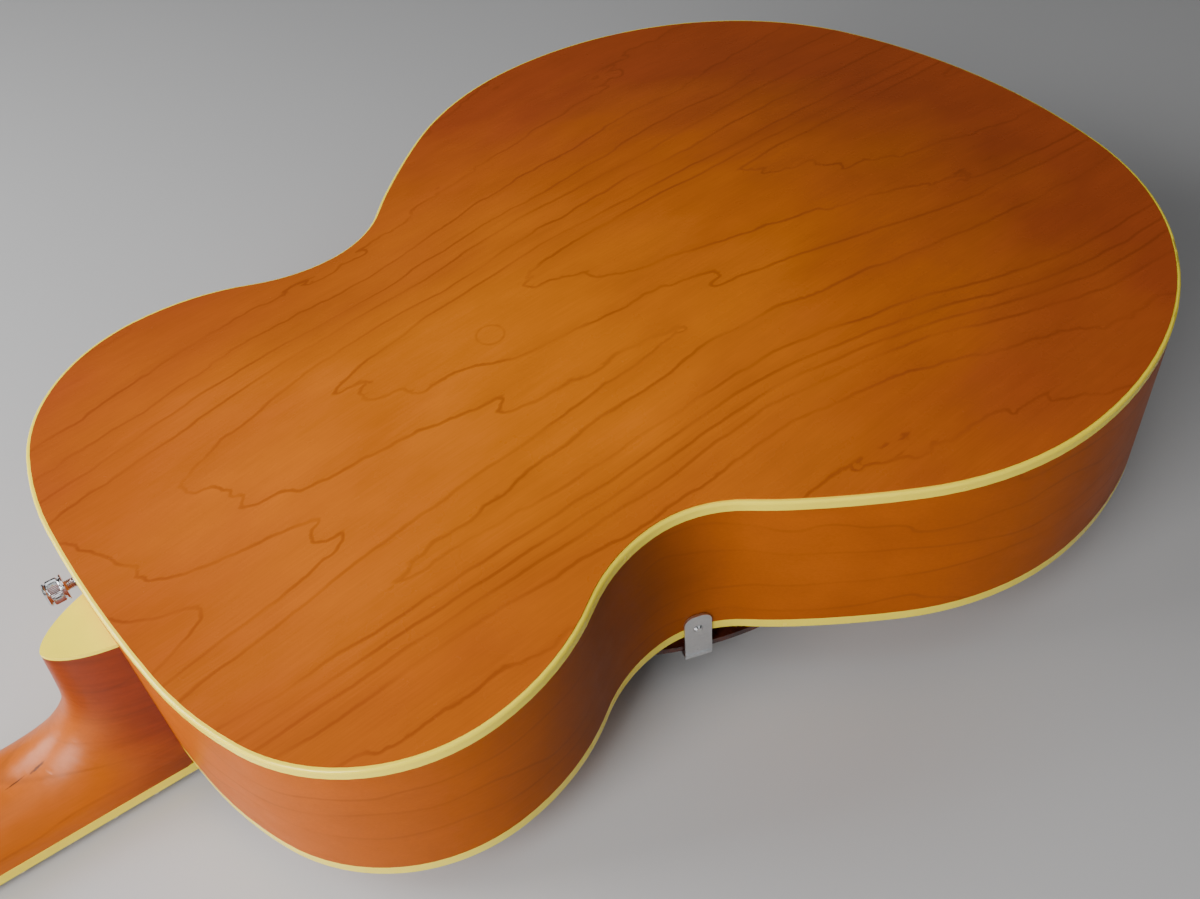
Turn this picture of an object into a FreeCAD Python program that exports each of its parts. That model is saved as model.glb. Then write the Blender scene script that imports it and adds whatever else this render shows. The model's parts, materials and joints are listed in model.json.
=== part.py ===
import FreeCAD, Part

import math
import os

from FreeCAD import Placement, Rotation, Vector

# An acoustic archtop guitar lying face down, in millimetres.
# Body frame: x from the neck end of the body to the tail, y to the bass side, z out of the back,
# with z = 0 on the back's rim plane.
# Neck frame: origin on the fingerboard's glue plane at the body joint, x along the fingerboard.
# String frame: origin on the saddle's crown, x along the strings, z away from the strings.
# Head frame: origin on the head's front at the nut, x along the head's face.

# Body outline: stations from the neck end, and full widths there
BODY_LENGTH = 532.0
UPPER_BOUT = 295.0
UPPER_BOUT_AT = 86.0
WAIST = 242.0
WAIST_AT = 181.0
LOWER_BOUT = 406.0
LOWER_BOUT_AT = 353.0
SHOULDER_AT = 11.7
SHOULDER_DROP = 52.5
SHOULDER_ANGLE = 70.0
FLANK_AT = 231.5
FLANK_DROP = 54.2
FLANK_ANGLE = 40.0
TAIL_BEND_BACK = 55.0
TAIL_BEND_DROP = 48.0
TAIL_BEND_ANGLE = -43.0
OUTLINE_LEANS = (1.0, 1.0, 1.44, 2.33, 0.565, 1.0, 1.0)

# Body shell
RIM_DEPTH_NECK = 76.6
RIM_DEPTH_TAIL = 92.5
PLATE_THICKNESS = 4.0
BACK_ARCH = 15.0
TOP_ARCH = 16.0
FLAT_RIM = 11.0
RIB_THICKNESS = 3.0
BINDING_THICKNESS = 1.9
BACK_BINDING_HEIGHT = 4.6
TOP_BINDING_HEIGHT = 6.0
BINDING_ROUND = 1.2
LINING_WIDTH = 6.0
LINING_HEIGHT = 13.0
NECK_BLOCK_LENGTH = 48.0
NECK_BLOCK_WIDTH = 84.0
TAIL_BLOCK_LENGTH = 30.0
TAIL_BLOCK_WIDTH = 76.0
TONE_BAR_WIDTH = 8.0
TONE_BAR_HEIGHT = 12.0
TONE_BAR_SPREAD = 40.0
TONE_BAR_START = 92.0
TONE_BAR_LENGTH = 340.0
F_HOLE_REACH = 50.0
F_HOLE_SIDE = 84.0
F_HOLE_WIDTH = 7.0
F_HOLE_SLANT = 9.0
F_EYE_OFFSET = 20.0
F_EYE_RADIUS_NECK = 6.5
F_EYE_RADIUS_TAIL = 8.0
F_NOTCH = 3.0
F_HOLE_LEGS = ((-1.0, 1.0), (-1.75, 1.0), (-1.2, 0.05), (0.0, 0.0))
F_HOLE_END_SHARE = 0.35

# Neck and fingerboard
SCALE_LENGTH = 631.0
JOINT_FRET = 14
FRET_COUNT = 21
OVERSTAND = 8.8
NECK_ANGLE = 3.4
NUT_WIDTH = 43.7
NUT_LENGTH = 5.0
JOINT_WIDTH = 55.5
BOARD_THICKNESS = 6.0
BOARD_RADIUS = 406.4
BOARD_OVERHANG = 4.5
BOARD_BINDING = 1.8
FRET_WIDTH = 2.4
FRET_HEIGHT = 1.1
FRET_SETBACK = 0.3
TANG_WIDTH = 0.6
TANG_DEPTH = 1.6
DOT_RADIUS = 3.2
DOT_DEPTH = 1.5
SHAFT_AT_NUT = 14.5
SHAFT_AT_HEEL = 17.5
VOLUTE_AT = 17.5
VOLUTE_RISE = 2.2
RUN_OUT_DROP = 0.3
HEEL_START = 72.0
HEEL_HOLLOW = 0.6
HEEL_HOLLOW_HEIGHT = 47.0
HEEL_LENGTH = 24.3
HEEL_HALF_WIDTH = 16.2
HEEL_FLARE = 0.15
HEEL_SETBACK = 10.0
HEEL_CAP_THICKNESS = 1.5
TENON_LENGTH = 18.0
TENON_ROOT = 22.0
TENON_FLARE = 30.0
TENON_TOP_SETBACK = 16.0
TENON_CLEARANCE = 0.1
TONGUE_WIDTH = 46.0
TONGUE_ROOT = 7.5
TONGUE_TIP = 3.5
SHAFT_SHAPE = (0.62, 1.0, 0.62, 1.0)
HEAD_RUN_SHAPE = (0.8, 1.0, 0.8, 1.0)
HEEL_SHAPE = (0.47, 0.914, 0.40, 0.96)

# Strings
STRING_DIAMETERS = (1.35, 1.07, 0.81, 0.61, 0.41, 0.30)
NUT_SPREAD = 36.0
SADDLE_SPREAD = 52.0
ACTION_AT_NUT = 1.6
ACTION_AT_SADDLE = 4.9
BEND_RADIUS = 9.0
STRING_CLEARANCE = 0.1
WRAP_CLEARANCE = 0.3
SLOT_DEPTH = 6.0

# Head and tuners
HEAD_LENGTH = 178.0
HEAD_THICKNESS = 14.5
HEAD_PITCH = 14.0
HEAD_STEP = 2.0
HEAD_PLATE_THICKNESS = 2.0
HEAD_NECK_WIDTH = 45.0
HEAD_FLARE_AT = 34.0
HEAD_FLARE_WIDTH = 62.0
HEAD_TIP_WIDTH = 77.0
HEAD_CORNER = 9.0
HEAD_CROWN = 8.0
TUNER_FIRST = 48.0
TUNER_STEP = 42.0
TUNER_EDGE = 12.0
POST_RADIUS = 3.0
POST_WAIST = 2.4
POST_WAIST_LENGTH = 8.4
POST_FLARE = 2.0
POST_CHAMFER = 0.6
POST_COLLAR = 1.0
POST_HOLE = 0.9
POST_SCREW_HEIGHT = 1.2
POST_REACH = 18.0
STRING_LEVEL = 9.0
BUSHING_RADIUS = 4.5
BUSHING_FLANGE = 5.6
BUSHING_HEIGHT = 1.6
BUSHING_DEPTH = 8.0
RUNNING_CLEARANCE = 0.06
TUNER_PLATE_THICKNESS = 1.2
PLATE_TAIL = 9.0
PLATE_LEAD = 5.5
PLATE_SIDE = 2.4
PLATE_CORNER = 2.5
PLATE_GAP = 0.1
WHEEL_TEETH = 15
WORM_LEAD = 2.0
WORM_TURNS = 4
WORM_CORE = 1.9
WORM_TIP = 3.0
WORM_PITCH_RADIUS = 2.45
WORM_FLOOR = 0.3
THREAD_ROOT = 0.8
THREAD_TIP = 0.35
WHEEL_WIDTH = 2.6
WHEEL_FIT = 0.02
WHEEL_ROOT_DROP = 0.8
WHEEL_TIP_RISE = 0.4
TOOTH_ROOT = 0.8
TOOTH_TIP = 0.35
EAR_SPACING = 11.0
EAR_THICKNESS = 1.6
EAR_RADIUS = 4.2
TUNER_SCREW_BACK = 6.2
TUNER_SCREW_SIDE = 6.7
KEY_REACH = 27.0
BUTTON_LENGTH = 17.0
BUTTON_WIDTH = 19.0
BUTTON_THICKNESS = 7.0
BUTTON_RIM = 3.6
BUTTON_NECK = 2.5
BUTTON_WALL = 1.2
TRUSS_ROD_RADIUS = 2.5
TRUSS_ROD_DEPTH = 7.0
TRUSS_NUT_RADIUS = 3.6
TRUSS_NUT_LENGTH = 11.0
TRUSS_NUT_GAP = 3.0
TRUSS_KEY_RADIUS = 2.2
TRUSS_KEY_DEPTH = 3.0
TRUSS_POCKET_SIDE = 0.8
TRUSS_POCKET_LENGTH = 12.0
COVER_LENGTH = 42.0
COVER_WIDTH = 24.0
COVER_TIP_WIDTH = 14.0
COVER_THICKNESS = 1.6
COVER_SETBACK = 1.0
COVER_SCREWS = ((-5.0, 8.0), (-38.0, 0.0))

# Bridge
SADDLE_LENGTH = 92.0
SADDLE_HEIGHT = 9.6
SADDLE_FOOT = 11.0
SADDLE_CROWN = 4.4
SADDLE_WAIST = 5.8
BASE_LENGTH = 156.0
BASE_WIDTH = 13.0
BASE_END_HEIGHT = 4.5
BASE_ARCH = 3.0
BASE_SHOULDER = 9.0
POST_SPREAD = 74.0
BRIDGE_POST_RADIUS = 2.0
POST_SEAT = 6.0
WHEEL_RADIUS = 10.5
THUMBWHEEL_HEIGHT = 3.0
THUMBWHEEL_GAP = 1.0
THUMBWHEEL_GROOVES = 20
GROOVE_RADIUS = 0.6
GROOVE_OUTSIDE = 0.2
SADDLE_SOCKET = 6.6
SOCKET_SPARE = 1.6

# Tailpiece
TRAPEZE_LENGTH = 124.7
BAR_LEVEL = 19.0
BAR_WIDTH = 84.0
BAR_LENGTH = 15.0
BAR_THICKNESS = 8.0
BAR_ROUND = 2.5
BAR_SHOULDER = 5.0
TAIL_SPREAD = 52.0
BALL_RADIUS = 1.9
BALL_LENGTH = 3.4
BALL_GAP = 0.35
TRAPEZE_RADIUS = 2.0
TRAPEZE_NARROW = 38.0
TRAPEZE_BEND = 7.0
HINGE_WIDTH = 24.0
HINGE_SHEET = 1.8
HINGE_DROP = 44.0
HINGE_OVERLAP = 13.0
HINGE_STANDOFF = 0.4
KNUCKLE_RADIUS = 4.2
KNUCKLE_STANDOFF = 0.6
HINGE_SCREWS = ((0.0, 7.0), (-7.0, 20.0), (7.0, 20.0))

# Pickguard, bracket and strap buttons
GUARD_THICKNESS = 2.6
GUARD_EDGE_SIDE = 36.0
GUARD_EDGE_LEVEL = 10.0
GUARD_TILT = 6.6
GUARD_START = 62.0
GUARD_NOSE = 9.0
GUARD_BRIDGE_GAP = 7.0
GUARD_END_OUT = 13.0
GUARD_SHOULDER_BACK = 42.0
GUARD_SHOULDER_IN = 34.0
GUARD_SWELL = 4.0
GUARD_CORNER = 8.0
BRACKET_AT = 199.5
BRACKET_WIDTH = 12.7
BRACKET_THICKNESS = 1.2
BRACKET_UP = 14.7
BRACKET_FOOT = 26.0
BRACKET_CORNER = 5.0
BRACKET_SEAT = 0.45
BRACKET_GAP = 0.1
PIN_BELOW_TOP = 9.0
STRAP_SIDE = 52.0
STRAP_DEPTH = 37.0
STRAP_STEM = 2.2
STRAP_STEM_LENGTH = 4.8
STRAP_FLANGE = 6.0
STRAP_FLANGE_THICKNESS = 1.1
STRAP_CHAMFER = 0.8
STRAP_HEAD = 5.4
STRAP_LENGTH = 13.8
SCREW_RADIUS = 1.3
SCREW_HEAD = 2.3
SCREW_HEAD_HEIGHT = 1.0
SCREW_LENGTH = 9.0
SCREW_POINT = 2.0
SCREW_CROWN = 0.6

# Sizes worked out from the driving ones
OVERSHOOT = 40.0
SIDE_REACH = LOWER_BOUT / 2 + OVERSHOOT
TAPER = (RIM_DEPTH_TAIL - RIM_DEPTH_NECK) / BODY_LENGTH
GLUE_DEPTH = RIM_DEPTH_NECK + OVERSTAND
NECK_TILT = NECK_ANGLE + math.degrees(math.atan(TAPER))
NUT_AT = -SCALE_LENGTH * (1 - 2 ** (-JOINT_FRET / 12))
SADDLE_AT = SCALE_LENGTH + NUT_AT
BOARD_END = NUT_AT + SCALE_LENGTH * (1 - 2 ** (-FRET_COUNT / 12)) + BOARD_OVERHANG
STRING_DEPTH_NUT = BOARD_THICKNESS + FRET_HEIGHT + ACTION_AT_NUT
STRING_DEPTH_SADDLE = BOARD_THICKNESS + FRET_HEIGHT + ACTION_AT_SADDLE
STRING_RISE = math.degrees(math.atan((STRING_DEPTH_SADDLE - STRING_DEPTH_NUT) / SCALE_LENGTH))
WHEEL_PITCH_RADIUS = WORM_LEAD * WHEEL_TEETH / (2 * math.pi)
WORM_OFFSET = WHEEL_PITCH_RADIUS + WORM_PITCH_RADIUS
WORM_LEVEL = TUNER_PLATE_THICKNESS + WORM_TIP + WORM_FLOOR
TRUSS_NUT_END = NUT_AT - NUT_LENGTH - TRUSS_NUT_LENGTH - TRUSS_NUT_GAP
POCKET_END = NUT_AT - NUT_LENGTH - TRUSS_NUT_LENGTH - TRUSS_POCKET_LENGTH

X_AXIS, Y_AXIS, Z_AXIS = Vector(1, 0, 0), Vector(0, 1, 0), Vector(0, 0, 1)

NECK_IN_BODY = Placement(Vector(0, 0, -GLUE_DEPTH), Rotation(Y_AXIS, NECK_TILT))
BODY_IN_NECK = NECK_IN_BODY.inverse()
STRING_IN_NECK = Placement(Vector(SADDLE_AT, 0, -STRING_DEPTH_SADDLE), Rotation(Y_AXIS, STRING_RISE))
NECK_IN_STRING = STRING_IN_NECK.inverse()
BODY_IN_STRING = NECK_IN_STRING.multiply(BODY_IN_NECK)
HEAD_IN_NECK = Placement(Vector(NUT_AT - NUT_LENGTH, 0, HEAD_STEP), Rotation(Y_AXIS, HEAD_PITCH))
HEAD_IN_STRING = NECK_IN_STRING.multiply(HEAD_IN_NECK)

HINGE_LEVEL = -RIM_DEPTH_TAIL - HINGE_STANDOFF
KNUCKLE_AT = Vector(BODY_LENGTH - HINGE_OVERLAP, 0, HINGE_LEVEL - KNUCKLE_RADIUS - KNUCKLE_STANDOFF)
BAR_AT = BODY_IN_STRING.multVec(KNUCKLE_AT).x - TRAPEZE_LENGTH


def placed(shape, frame):
    """A copy of a shape moved into another frame."""
    moved = shape.copy()
    moved.Placement = frame.multiply(moved.Placement)
    return moved


def box(x_range, y_range, z_range):
    size = [high - low for low, high in (x_range, y_range, z_range)]
    return Part.makeBox(*size, Vector(x_range[0], y_range[0], z_range[0]))


def polygon_prism(points, height):
    """A prism over a polygon of vectors, extruded by a vector."""
    return Part.Face(Part.makePolygon(points + points[:1])).extrude(height)


def rod(start, end, radius):
    along = end - start
    return Part.makeCylinder(radius, along.Length, start, along)


def turned(profile, origin=Vector(0, 0, 0), axis=Z_AXIS):
    """A solid of revolution from (radius, height) points, standing on an axis at an origin."""
    points = [Vector(radius, 0, height) for radius, height in profile]
    solid = Part.Face(Part.makePolygon(points + points[:1])).revolve(Vector(0, 0, 0), Z_AXIS, 360)
    return placed(solid, Placement(origin, Rotation(Z_AXIS, axis)))


def mirrored(shape):
    """The same shape on the other side of the centre plane."""
    return shape.mirror(Vector(0, 0, 0), Y_AXIS)


def pipe(path, radius):
    """A round wire along a path of straight runs and tangent arcs, as one solid."""
    runs = []
    for edge in path.Edges:
        start, end = edge.FirstParameter, edge.LastParameter
        disc = Part.Face(Part.Wire(Part.makeCircle(radius, edge.valueAt(start), edge.tangentAt(start))))
        if edge.Curve.TypeId == "Part::GeomLine":
            runs.append(disc.extrude(edge.valueAt(end) - edge.valueAt(start)))
        else:
            runs.append(disc.revolve(edge.Curve.Center, edge.Curve.Axis, math.degrees(end - start)))
    return runs[0].fuse(runs[1:])


def rounded_path(points, radii):
    """Straight runs through points, joined by arcs of the given radii at the inner points."""
    edges, last = [], points[0]
    for before, corner, after, radius in zip(points, points[1:], points[2:], radii):
        back, ahead = (before - corner).normalize(), (after - corner).normalize()
        half = back.getAngle(ahead) / 2
        reach = radius / math.tan(half)
        centre = corner + (back + ahead).normalize() * (radius / math.sin(half))
        start, end = corner + back * reach, corner + ahead * reach
        middle = centre + (corner - centre).normalize() * radius
        edges.append(Part.LineSegment(last, start).toShape())
        edges.append(Part.Arc(start, middle, end).toShape())
        last = end
    edges.append(Part.LineSegment(last, points[-1]).toShape())
    return Part.Wire(edges)


def turn(way, angle):
    return Vector(way.x * math.cos(angle) - way.y * math.sin(angle),
                  way.x * math.sin(angle) + way.y * math.cos(angle), 0)


def heading(degrees):
    return turn(X_AXIS, math.radians(degrees))


def left_of(way):
    return Vector(-way.y, way.x, 0)


def tangent_arc(start, way, end):
    """An arc as (point, outward normal) at its start, middle and end, and its last heading."""
    chord = end - start
    swing = math.atan2(left_of(way).dot(chord), way.dot(chord))
    middle = start + turn(way, swing / 2) * (chord.Length / 2 / math.cos(swing / 2))
    last = turn(way, 2 * swing)
    return ((start, left_of(way)), (middle, left_of(turn(way, swing))), (end, left_of(last))), last


def biarc(start, way, end, end_way, lean):
    """Two tangent arcs from one point and heading to another; lean shares out their lengths."""
    chord = end - start
    square = 2 * lean * (way.dot(end_way) - 1)
    middle = -2 * chord.dot(way * lean + end_way)
    constant = chord.dot(chord)
    if abs(square) < 1e-9:
        reach = -constant / middle
    else:
        reach = (-middle - math.sqrt(middle * middle - 4 * square * constant)) / (2 * square)
    first, second = start + way * (lean * reach), end - end_way * reach
    joint = (first + second * lean) / (1 + lean)
    arc_in, joint_way = tangent_arc(start, way, joint)
    arc_out, _ = tangent_arc(joint, joint_way, end)
    return [arc_in, arc_out]


def outline_arcs():
    """The bass half of the body's outline, from the neck end to the tail."""
    stations = (
        (0.0, 0.0, 90.0),
        (SHOULDER_AT, UPPER_BOUT / 2 - SHOULDER_DROP, SHOULDER_ANGLE),
        (UPPER_BOUT_AT, UPPER_BOUT / 2, 0.0),
        (WAIST_AT, WAIST / 2, 0.0),
        (FLANK_AT, LOWER_BOUT / 2 - FLANK_DROP, FLANK_ANGLE),
        (LOWER_BOUT_AT, LOWER_BOUT / 2, 0.0),
        (BODY_LENGTH - TAIL_BEND_BACK, LOWER_BOUT / 2 - TAIL_BEND_DROP, TAIL_BEND_ANGLE),
        (BODY_LENGTH, 0.0, -90.0),
    )
    arcs = []
    for (x, y, angle), (end_x, end_y, end_angle), lean in zip(stations, stations[1:], OUTLINE_LEANS):
        arcs += biarc(Vector(x, y, 0), heading(angle), Vector(end_x, end_y, 0), heading(end_angle), lean)
    return arcs


OUTLINE = outline_arcs()


def half_width(x):
    """Half the body's width at a station."""
    for (start, normal), (middle, _), (end, _) in OUTLINE:
        if start.x <= x <= end.x:
            chord = end - start
            centre = start + normal * (chord.dot(chord) / (2 * chord.dot(normal)))
            radius = (start - centre).Length
            side = math.copysign(1.0, middle.y - centre.y)
            return centre.y + side * math.sqrt(max(radius ** 2 - (x - centre.x) ** 2, 0.0))
    return 0.0


def outline_normal(x):
    """The outline's outward direction on the bass side at a station."""
    step = 0.5
    slope = (half_width(x + step) - half_width(x - step)) / (2 * step)
    return Vector(-slope, 1, 0).normalize()


def station_at_side(y):
    """The station on the neck end of the outline at a given half width."""
    low, high = 0.0, UPPER_BOUT_AT
    for _ in range(40):
        middle = (low + high) / 2
        low, high = (middle, high) if half_width(middle) < y else (low, middle)
    return high


def outline_prism(inset):
    """The body's outline, drawn in by an inset, as a prism through and past the whole body."""
    bass = [[point - normal * inset for point, normal in arc] for arc in OUTLINE]
    treble = [[Vector(point.x, -point.y, 0) for point in reversed(arc)] for arc in reversed(bass)]
    edges = [Part.Arc(*arc).toShape() for arc in bass + treble]
    face = Part.Face(Part.Wire(edges))
    face.translate(Vector(0, 0, OVERSHOOT))
    return face.extrude(Vector(0, 0, -RIM_DEPTH_TAIL - 2 * OVERSHOOT))


def back_level(depth):
    """The plane a given depth below the back's rim, as a height over x."""
    return lambda x: -depth


def front_level(depth):
    """The plane a given depth behind the front's rim, as a height over x."""
    return lambda x: -RIM_DEPTH_NECK - TAPER * x + depth


def slab(upper, lower):
    """All that lies between two levels."""
    ends = (-OVERSHOOT, BODY_LENGTH + OVERSHOOT)
    corners = [Vector(x, -SIDE_REACH, upper(x)) for x in ends]
    corners += [Vector(x, -SIDE_REACH, lower(x)) for x in reversed(ends)]
    return polygon_prism(corners, Vector(0, 2 * SIDE_REACH, 0))


def ring(outer_inset, inner_inset, levels):
    """A band that follows the outline between two insets and two levels."""
    return outline_prism(outer_inset).cut(outline_prism(inner_inset)).common(slab(*levels))


def arch_height(x, y):
    """The share of the full arch at a point of a plate: none on the flat rim, one in the middle."""
    along = abs(2 * x / BODY_LENGTH - 1) / (1 - 2 * FLAT_RIM / BODY_LENGTH)
    across = abs(y) / max(half_width(min(max(x, 0), BODY_LENGTH)) - FLAT_RIM, 1.0)
    if along >= 1 or across >= 1:
        return 0.0
    return (1 - along ** 3) ** 1.6 * (1 - across ** 2.4) ** 1.8


def arched_face(level, rise, drop=0.0):
    """A smooth arched surface over the whole body: a level plus an arch, shifted by a drop."""
    rows, columns, degree = 19, 15, 3
    xs = [BODY_LENGTH * (1.16 * i / (rows - 1) - 0.08) for i in range(rows)]
    ys = [SIDE_REACH * (2 * j / (columns - 1) - 1) for j in range(columns)]
    poles = [[Vector(x, y, level(x) + rise * arch_height(x, y) + drop) for y in ys] for x in xs]
    knots = [list(range(count - degree + 1)) for count in (rows, columns)]
    ends = [[degree + 1] + [1] * (len(values) - 2) + [degree + 1] for values in knots]
    surface = Part.BSplineSurface()
    surface.buildFromPolesMultsKnots(poles, *ends, *knots, False, False, degree, degree)
    return surface.toShape()


def front_space(depth):
    """The space in front of the top plate's face, down to a depth."""
    return arched_face(front_level(0), -TOP_ARCH).extrude(Vector(0, 0, -depth))


def f_hole_cutter():
    """A treble sound hole: a stem that swells in the middle, hooked at both ends into round eyes."""
    reach, eye, steps = F_HOLE_REACH, F_EYE_OFFSET, 9
    legs = [Vector(x * reach, y * eye, 0) for x, y in F_HOLE_LEGS]
    curve = Part.BezierCurve()
    curve.setPoles(legs)
    line = [(curve.value(i / steps), curve.tangent(i / steps)[0], i / steps) for i in range(steps + 1)]
    line += [(point * -1, way, share) for point, way, share in reversed(line[:-1])]
    sides = []
    for sign in (1, -1):
        edge = []
        for point, way, share in line:
            width = F_HOLE_WIDTH * (F_HOLE_END_SHARE + (1 - F_HOLE_END_SHARE) * share)
            edge.append(point + left_of(way) * (sign * width / 2))
        spline = Part.BSplineCurve()
        spline.interpolate(edge)
        sides.append(spline.toShape())
    ends = [Part.LineSegment(sides[0].valueAt(sides[0].ParameterRange[i]),
                             sides[1].valueAt(sides[1].ParameterRange[i])).toShape() for i in (0, 1)]
    stem = Part.Face(Part.Wire(Part.__sortEdges__(sides + ends)))
    height = Vector(0, 0, RIM_DEPTH_TAIL)
    cutter = stem.extrude(height)
    cutter = cutter.fuse(Part.makeCylinder(F_EYE_RADIUS_NECK, height.z, legs[0]))
    cutter = cutter.fuse(Part.makeCylinder(F_EYE_RADIUS_TAIL, height.z, legs[0] * -1))
    wide = F_HOLE_WIDTH / 2 + F_NOTCH
    notch = [Vector(-F_NOTCH / 2, 0, 0), Vector(0, wide, 0), Vector(F_NOTCH / 2, 0, 0), Vector(0, -wide, 0)]
    cutter = cutter.fuse(polygon_prism(notch, height))
    middle = BODY_IN_STRING.inverse().multVec(Vector(0, 0, 0))
    base = Vector(middle.x, -F_HOLE_SIDE, -RIM_DEPTH_TAIL - OVERSHOOT)
    return placed(cutter, Placement(base, Rotation(Z_AXIS, -F_HOLE_SLANT)))


def tenon(clearance):
    """The neck's dovetail, which flares into the neck block, in the body frame."""
    root, flare = TENON_ROOT / 2 + clearance, TENON_FLARE / 2 + clearance
    length = TENON_LENGTH + clearance
    plan = [Vector(-OVERSHOOT / 10, -root, 0), Vector(length, -flare, 0),
            Vector(length, flare, 0), Vector(-OVERSHOOT / 10, root, 0)]
    solid = polygon_prism(plan, Vector(0, 0, -2 * RIM_DEPTH_TAIL))
    top = back_level(HEEL_SETBACK + TENON_TOP_SETBACK - clearance)
    return solid.common(slab(top, front_level(TOP_BINDING_HEIGHT)))


def body_nodes():
    shell = (back_level(PLATE_THICKNESS), front_level(PLATE_THICKNESS))
    back_edge = (back_level(0), back_level(BACK_BINDING_HEIGHT))
    front_edge = (front_level(TOP_BINDING_HEIGHT), front_level(0))
    plate_plan = outline_prism(BINDING_THICKNESS)
    mortise = tenon(TENON_CLEARANCE)

    back = arched_face(back_level(0), BACK_ARCH).extrude(Vector(0, 0, -PLATE_THICKNESS)).common(plate_plan)
    top = arched_face(front_level(0), -TOP_ARCH).extrude(Vector(0, 0, PLATE_THICKNESS)).common(plate_plan)
    hole = f_hole_cutter()
    top = top.cut(Part.makeCompound([hole, mirrored(hole)]))

    middle = ring(0, RIB_THICKNESS, (back_level(BACK_BINDING_HEIGHT), front_level(TOP_BINDING_HEIGHT)))
    ribs = middle.fuse(ring(BINDING_THICKNESS, RIB_THICKNESS, shell)).removeSplitter().cut(mortise)
    halves = {side: box((-OVERSHOOT, BODY_LENGTH + OVERSHOOT), reach, (-2 * RIM_DEPTH_TAIL, OVERSHOOT))
              for side, reach in (("bass", (0, SIDE_REACH)), ("treble", (-SIDE_REACH, 0)))}

    inside = outline_prism(RIB_THICKNESS).common(slab(*shell))
    depth = (-2 * RIM_DEPTH_TAIL, OVERSHOOT)
    neck_space = box((-OVERSHOOT, NECK_BLOCK_LENGTH), (-NECK_BLOCK_WIDTH / 2, NECK_BLOCK_WIDTH / 2), depth)
    tail_space = box((BODY_LENGTH - TAIL_BLOCK_LENGTH, BODY_LENGTH + OVERSHOOT),
                     (-TAIL_BLOCK_WIDTH / 2, TAIL_BLOCK_WIDTH / 2), depth)
    blocks = Part.makeCompound([neck_space, tail_space])
    lining_inset = RIB_THICKNESS + LINING_WIDTH
    back_lining = (shell[0], back_level(PLATE_THICKNESS + LINING_HEIGHT))
    top_lining = (front_level(PLATE_THICKNESS + LINING_HEIGHT), shell[1])

    bars = []
    under_top = arched_face(front_level(0), -TOP_ARCH, PLATE_THICKNESS).extrude(Vector(0, 0, TONE_BAR_HEIGHT))
    for side in (1, -1):
        low = side * TONE_BAR_SPREAD - TONE_BAR_WIDTH / 2
        bars.append(under_top.common(box((TONE_BAR_START, TONE_BAR_START + TONE_BAR_LENGTH),
                                         (low, low + TONE_BAR_WIDTH), depth)))
    return {
        "back_plate": back,
        "top_plate": top,
        "rib_bass": ribs.common(halves["bass"]),
        "rib_treble": ribs.common(halves["treble"]),
        "back_binding": rounded_edge(ring(0, BINDING_THICKNESS, back_edge), back_level(0)),
        "top_binding": rounded_edge(ring(0, BINDING_THICKNESS, front_edge), front_level(0)),
        "neck_block": inside.common(neck_space).cut(mortise),
        "tail_block": inside.common(tail_space),
        "back_linings": ring(RIB_THICKNESS, lining_inset, back_lining).cut(blocks),
        "top_linings": ring(RIB_THICKNESS, lining_inset, top_lining).cut(blocks),
        "tone_bars": Part.makeCompound(bars),
    }


def rounded_edge(band, level):
    """A binding with its outer edge on a rim plane rounded over."""
    edges = []
    for edge in band.Edges:
        point = edge.valueAt((edge.FirstParameter + edge.LastParameter) / 2)
        on_rim = abs(point.z - level(point.x)) < 0.01
        ends_on_rim = all(abs(vertex.Z - level(vertex.X)) < 0.01 for vertex in edge.Vertexes)
        outside = abs(abs(point.y) - half_width(point.x)) < 0.05
        if on_rim and ends_on_rim and outside:
            edges.append(edge)
    return band.makeFillet(BINDING_ROUND, edges)


def neck_half_width(x):
    """Half the neck's width at a station along the fingerboard."""
    return (JOINT_WIDTH + (JOINT_WIDTH - NUT_WIDTH) * x / -NUT_AT) / 2


def blend(start, end, share):
    """A tuple of numbers part of the way from one to another."""
    return tuple(low + (high - low) * share for low, high in zip(start, end))


def back_of_neck_section(edge, apex, half, shape):
    """Poles across the back of the neck: from the bass edge over the ridge to the treble edge."""
    base = Vector(edge[0], 0, edge[1])
    rise = Vector(apex[0], 0, apex[1]) - base
    side = Vector(0, half, 0)
    low_rise, low_side, high_side, high_rise = shape
    bass = [base + side, base + side * low_side + rise * low_rise, base + side * high_side + rise * high_rise,
            base + rise]
    return bass + [Vector(pole.x, -pole.y, pole.z) for pole in reversed(bass[:-1])]


def skinned(sections):
    """A solid with a smooth back drawn through rows of poles, a flat underside and flat ends."""
    degree, ridge = 3, len(sections[0]) // 2
    along = list(range(len(sections) - degree + 1))
    mults = [degree + 1] + [1] * (len(along) - 2) + [degree + 1]
    faces, sides, ends = [], [], [[], []]
    for low, high in ((0, ridge + 1), (ridge, len(sections[0]))):
        poles = [section[low:high] for section in sections]
        surface = Part.BSplineSurface()
        across = [degree + 1] * 2
        surface.buildFromPolesMultsKnots(poles, mults, across, along, [0, 1], False, False, degree, degree)
        faces.append(surface.toShape())
        sides.append(surface.vIso(0 if low == 0 else 1).toShape())
        for end, share in zip(ends, (along[0], along[-1])):
            end.append(surface.uIso(share).toShape())
    faces.append(Part.makeRuledSurface(*sides))
    for end, section in zip(ends, (sections[0], sections[-1])):
        faces.append(Part.Face(Part.Wire(end + [Part.LineSegment(section[-1], section[0]).toShape()])))
    shell = Part.makeShell(faces)
    shell.sewShape()
    solid = Part.makeSolid(shell)
    if solid.Volume < 0:
        solid.reverse()
    return solid


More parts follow.
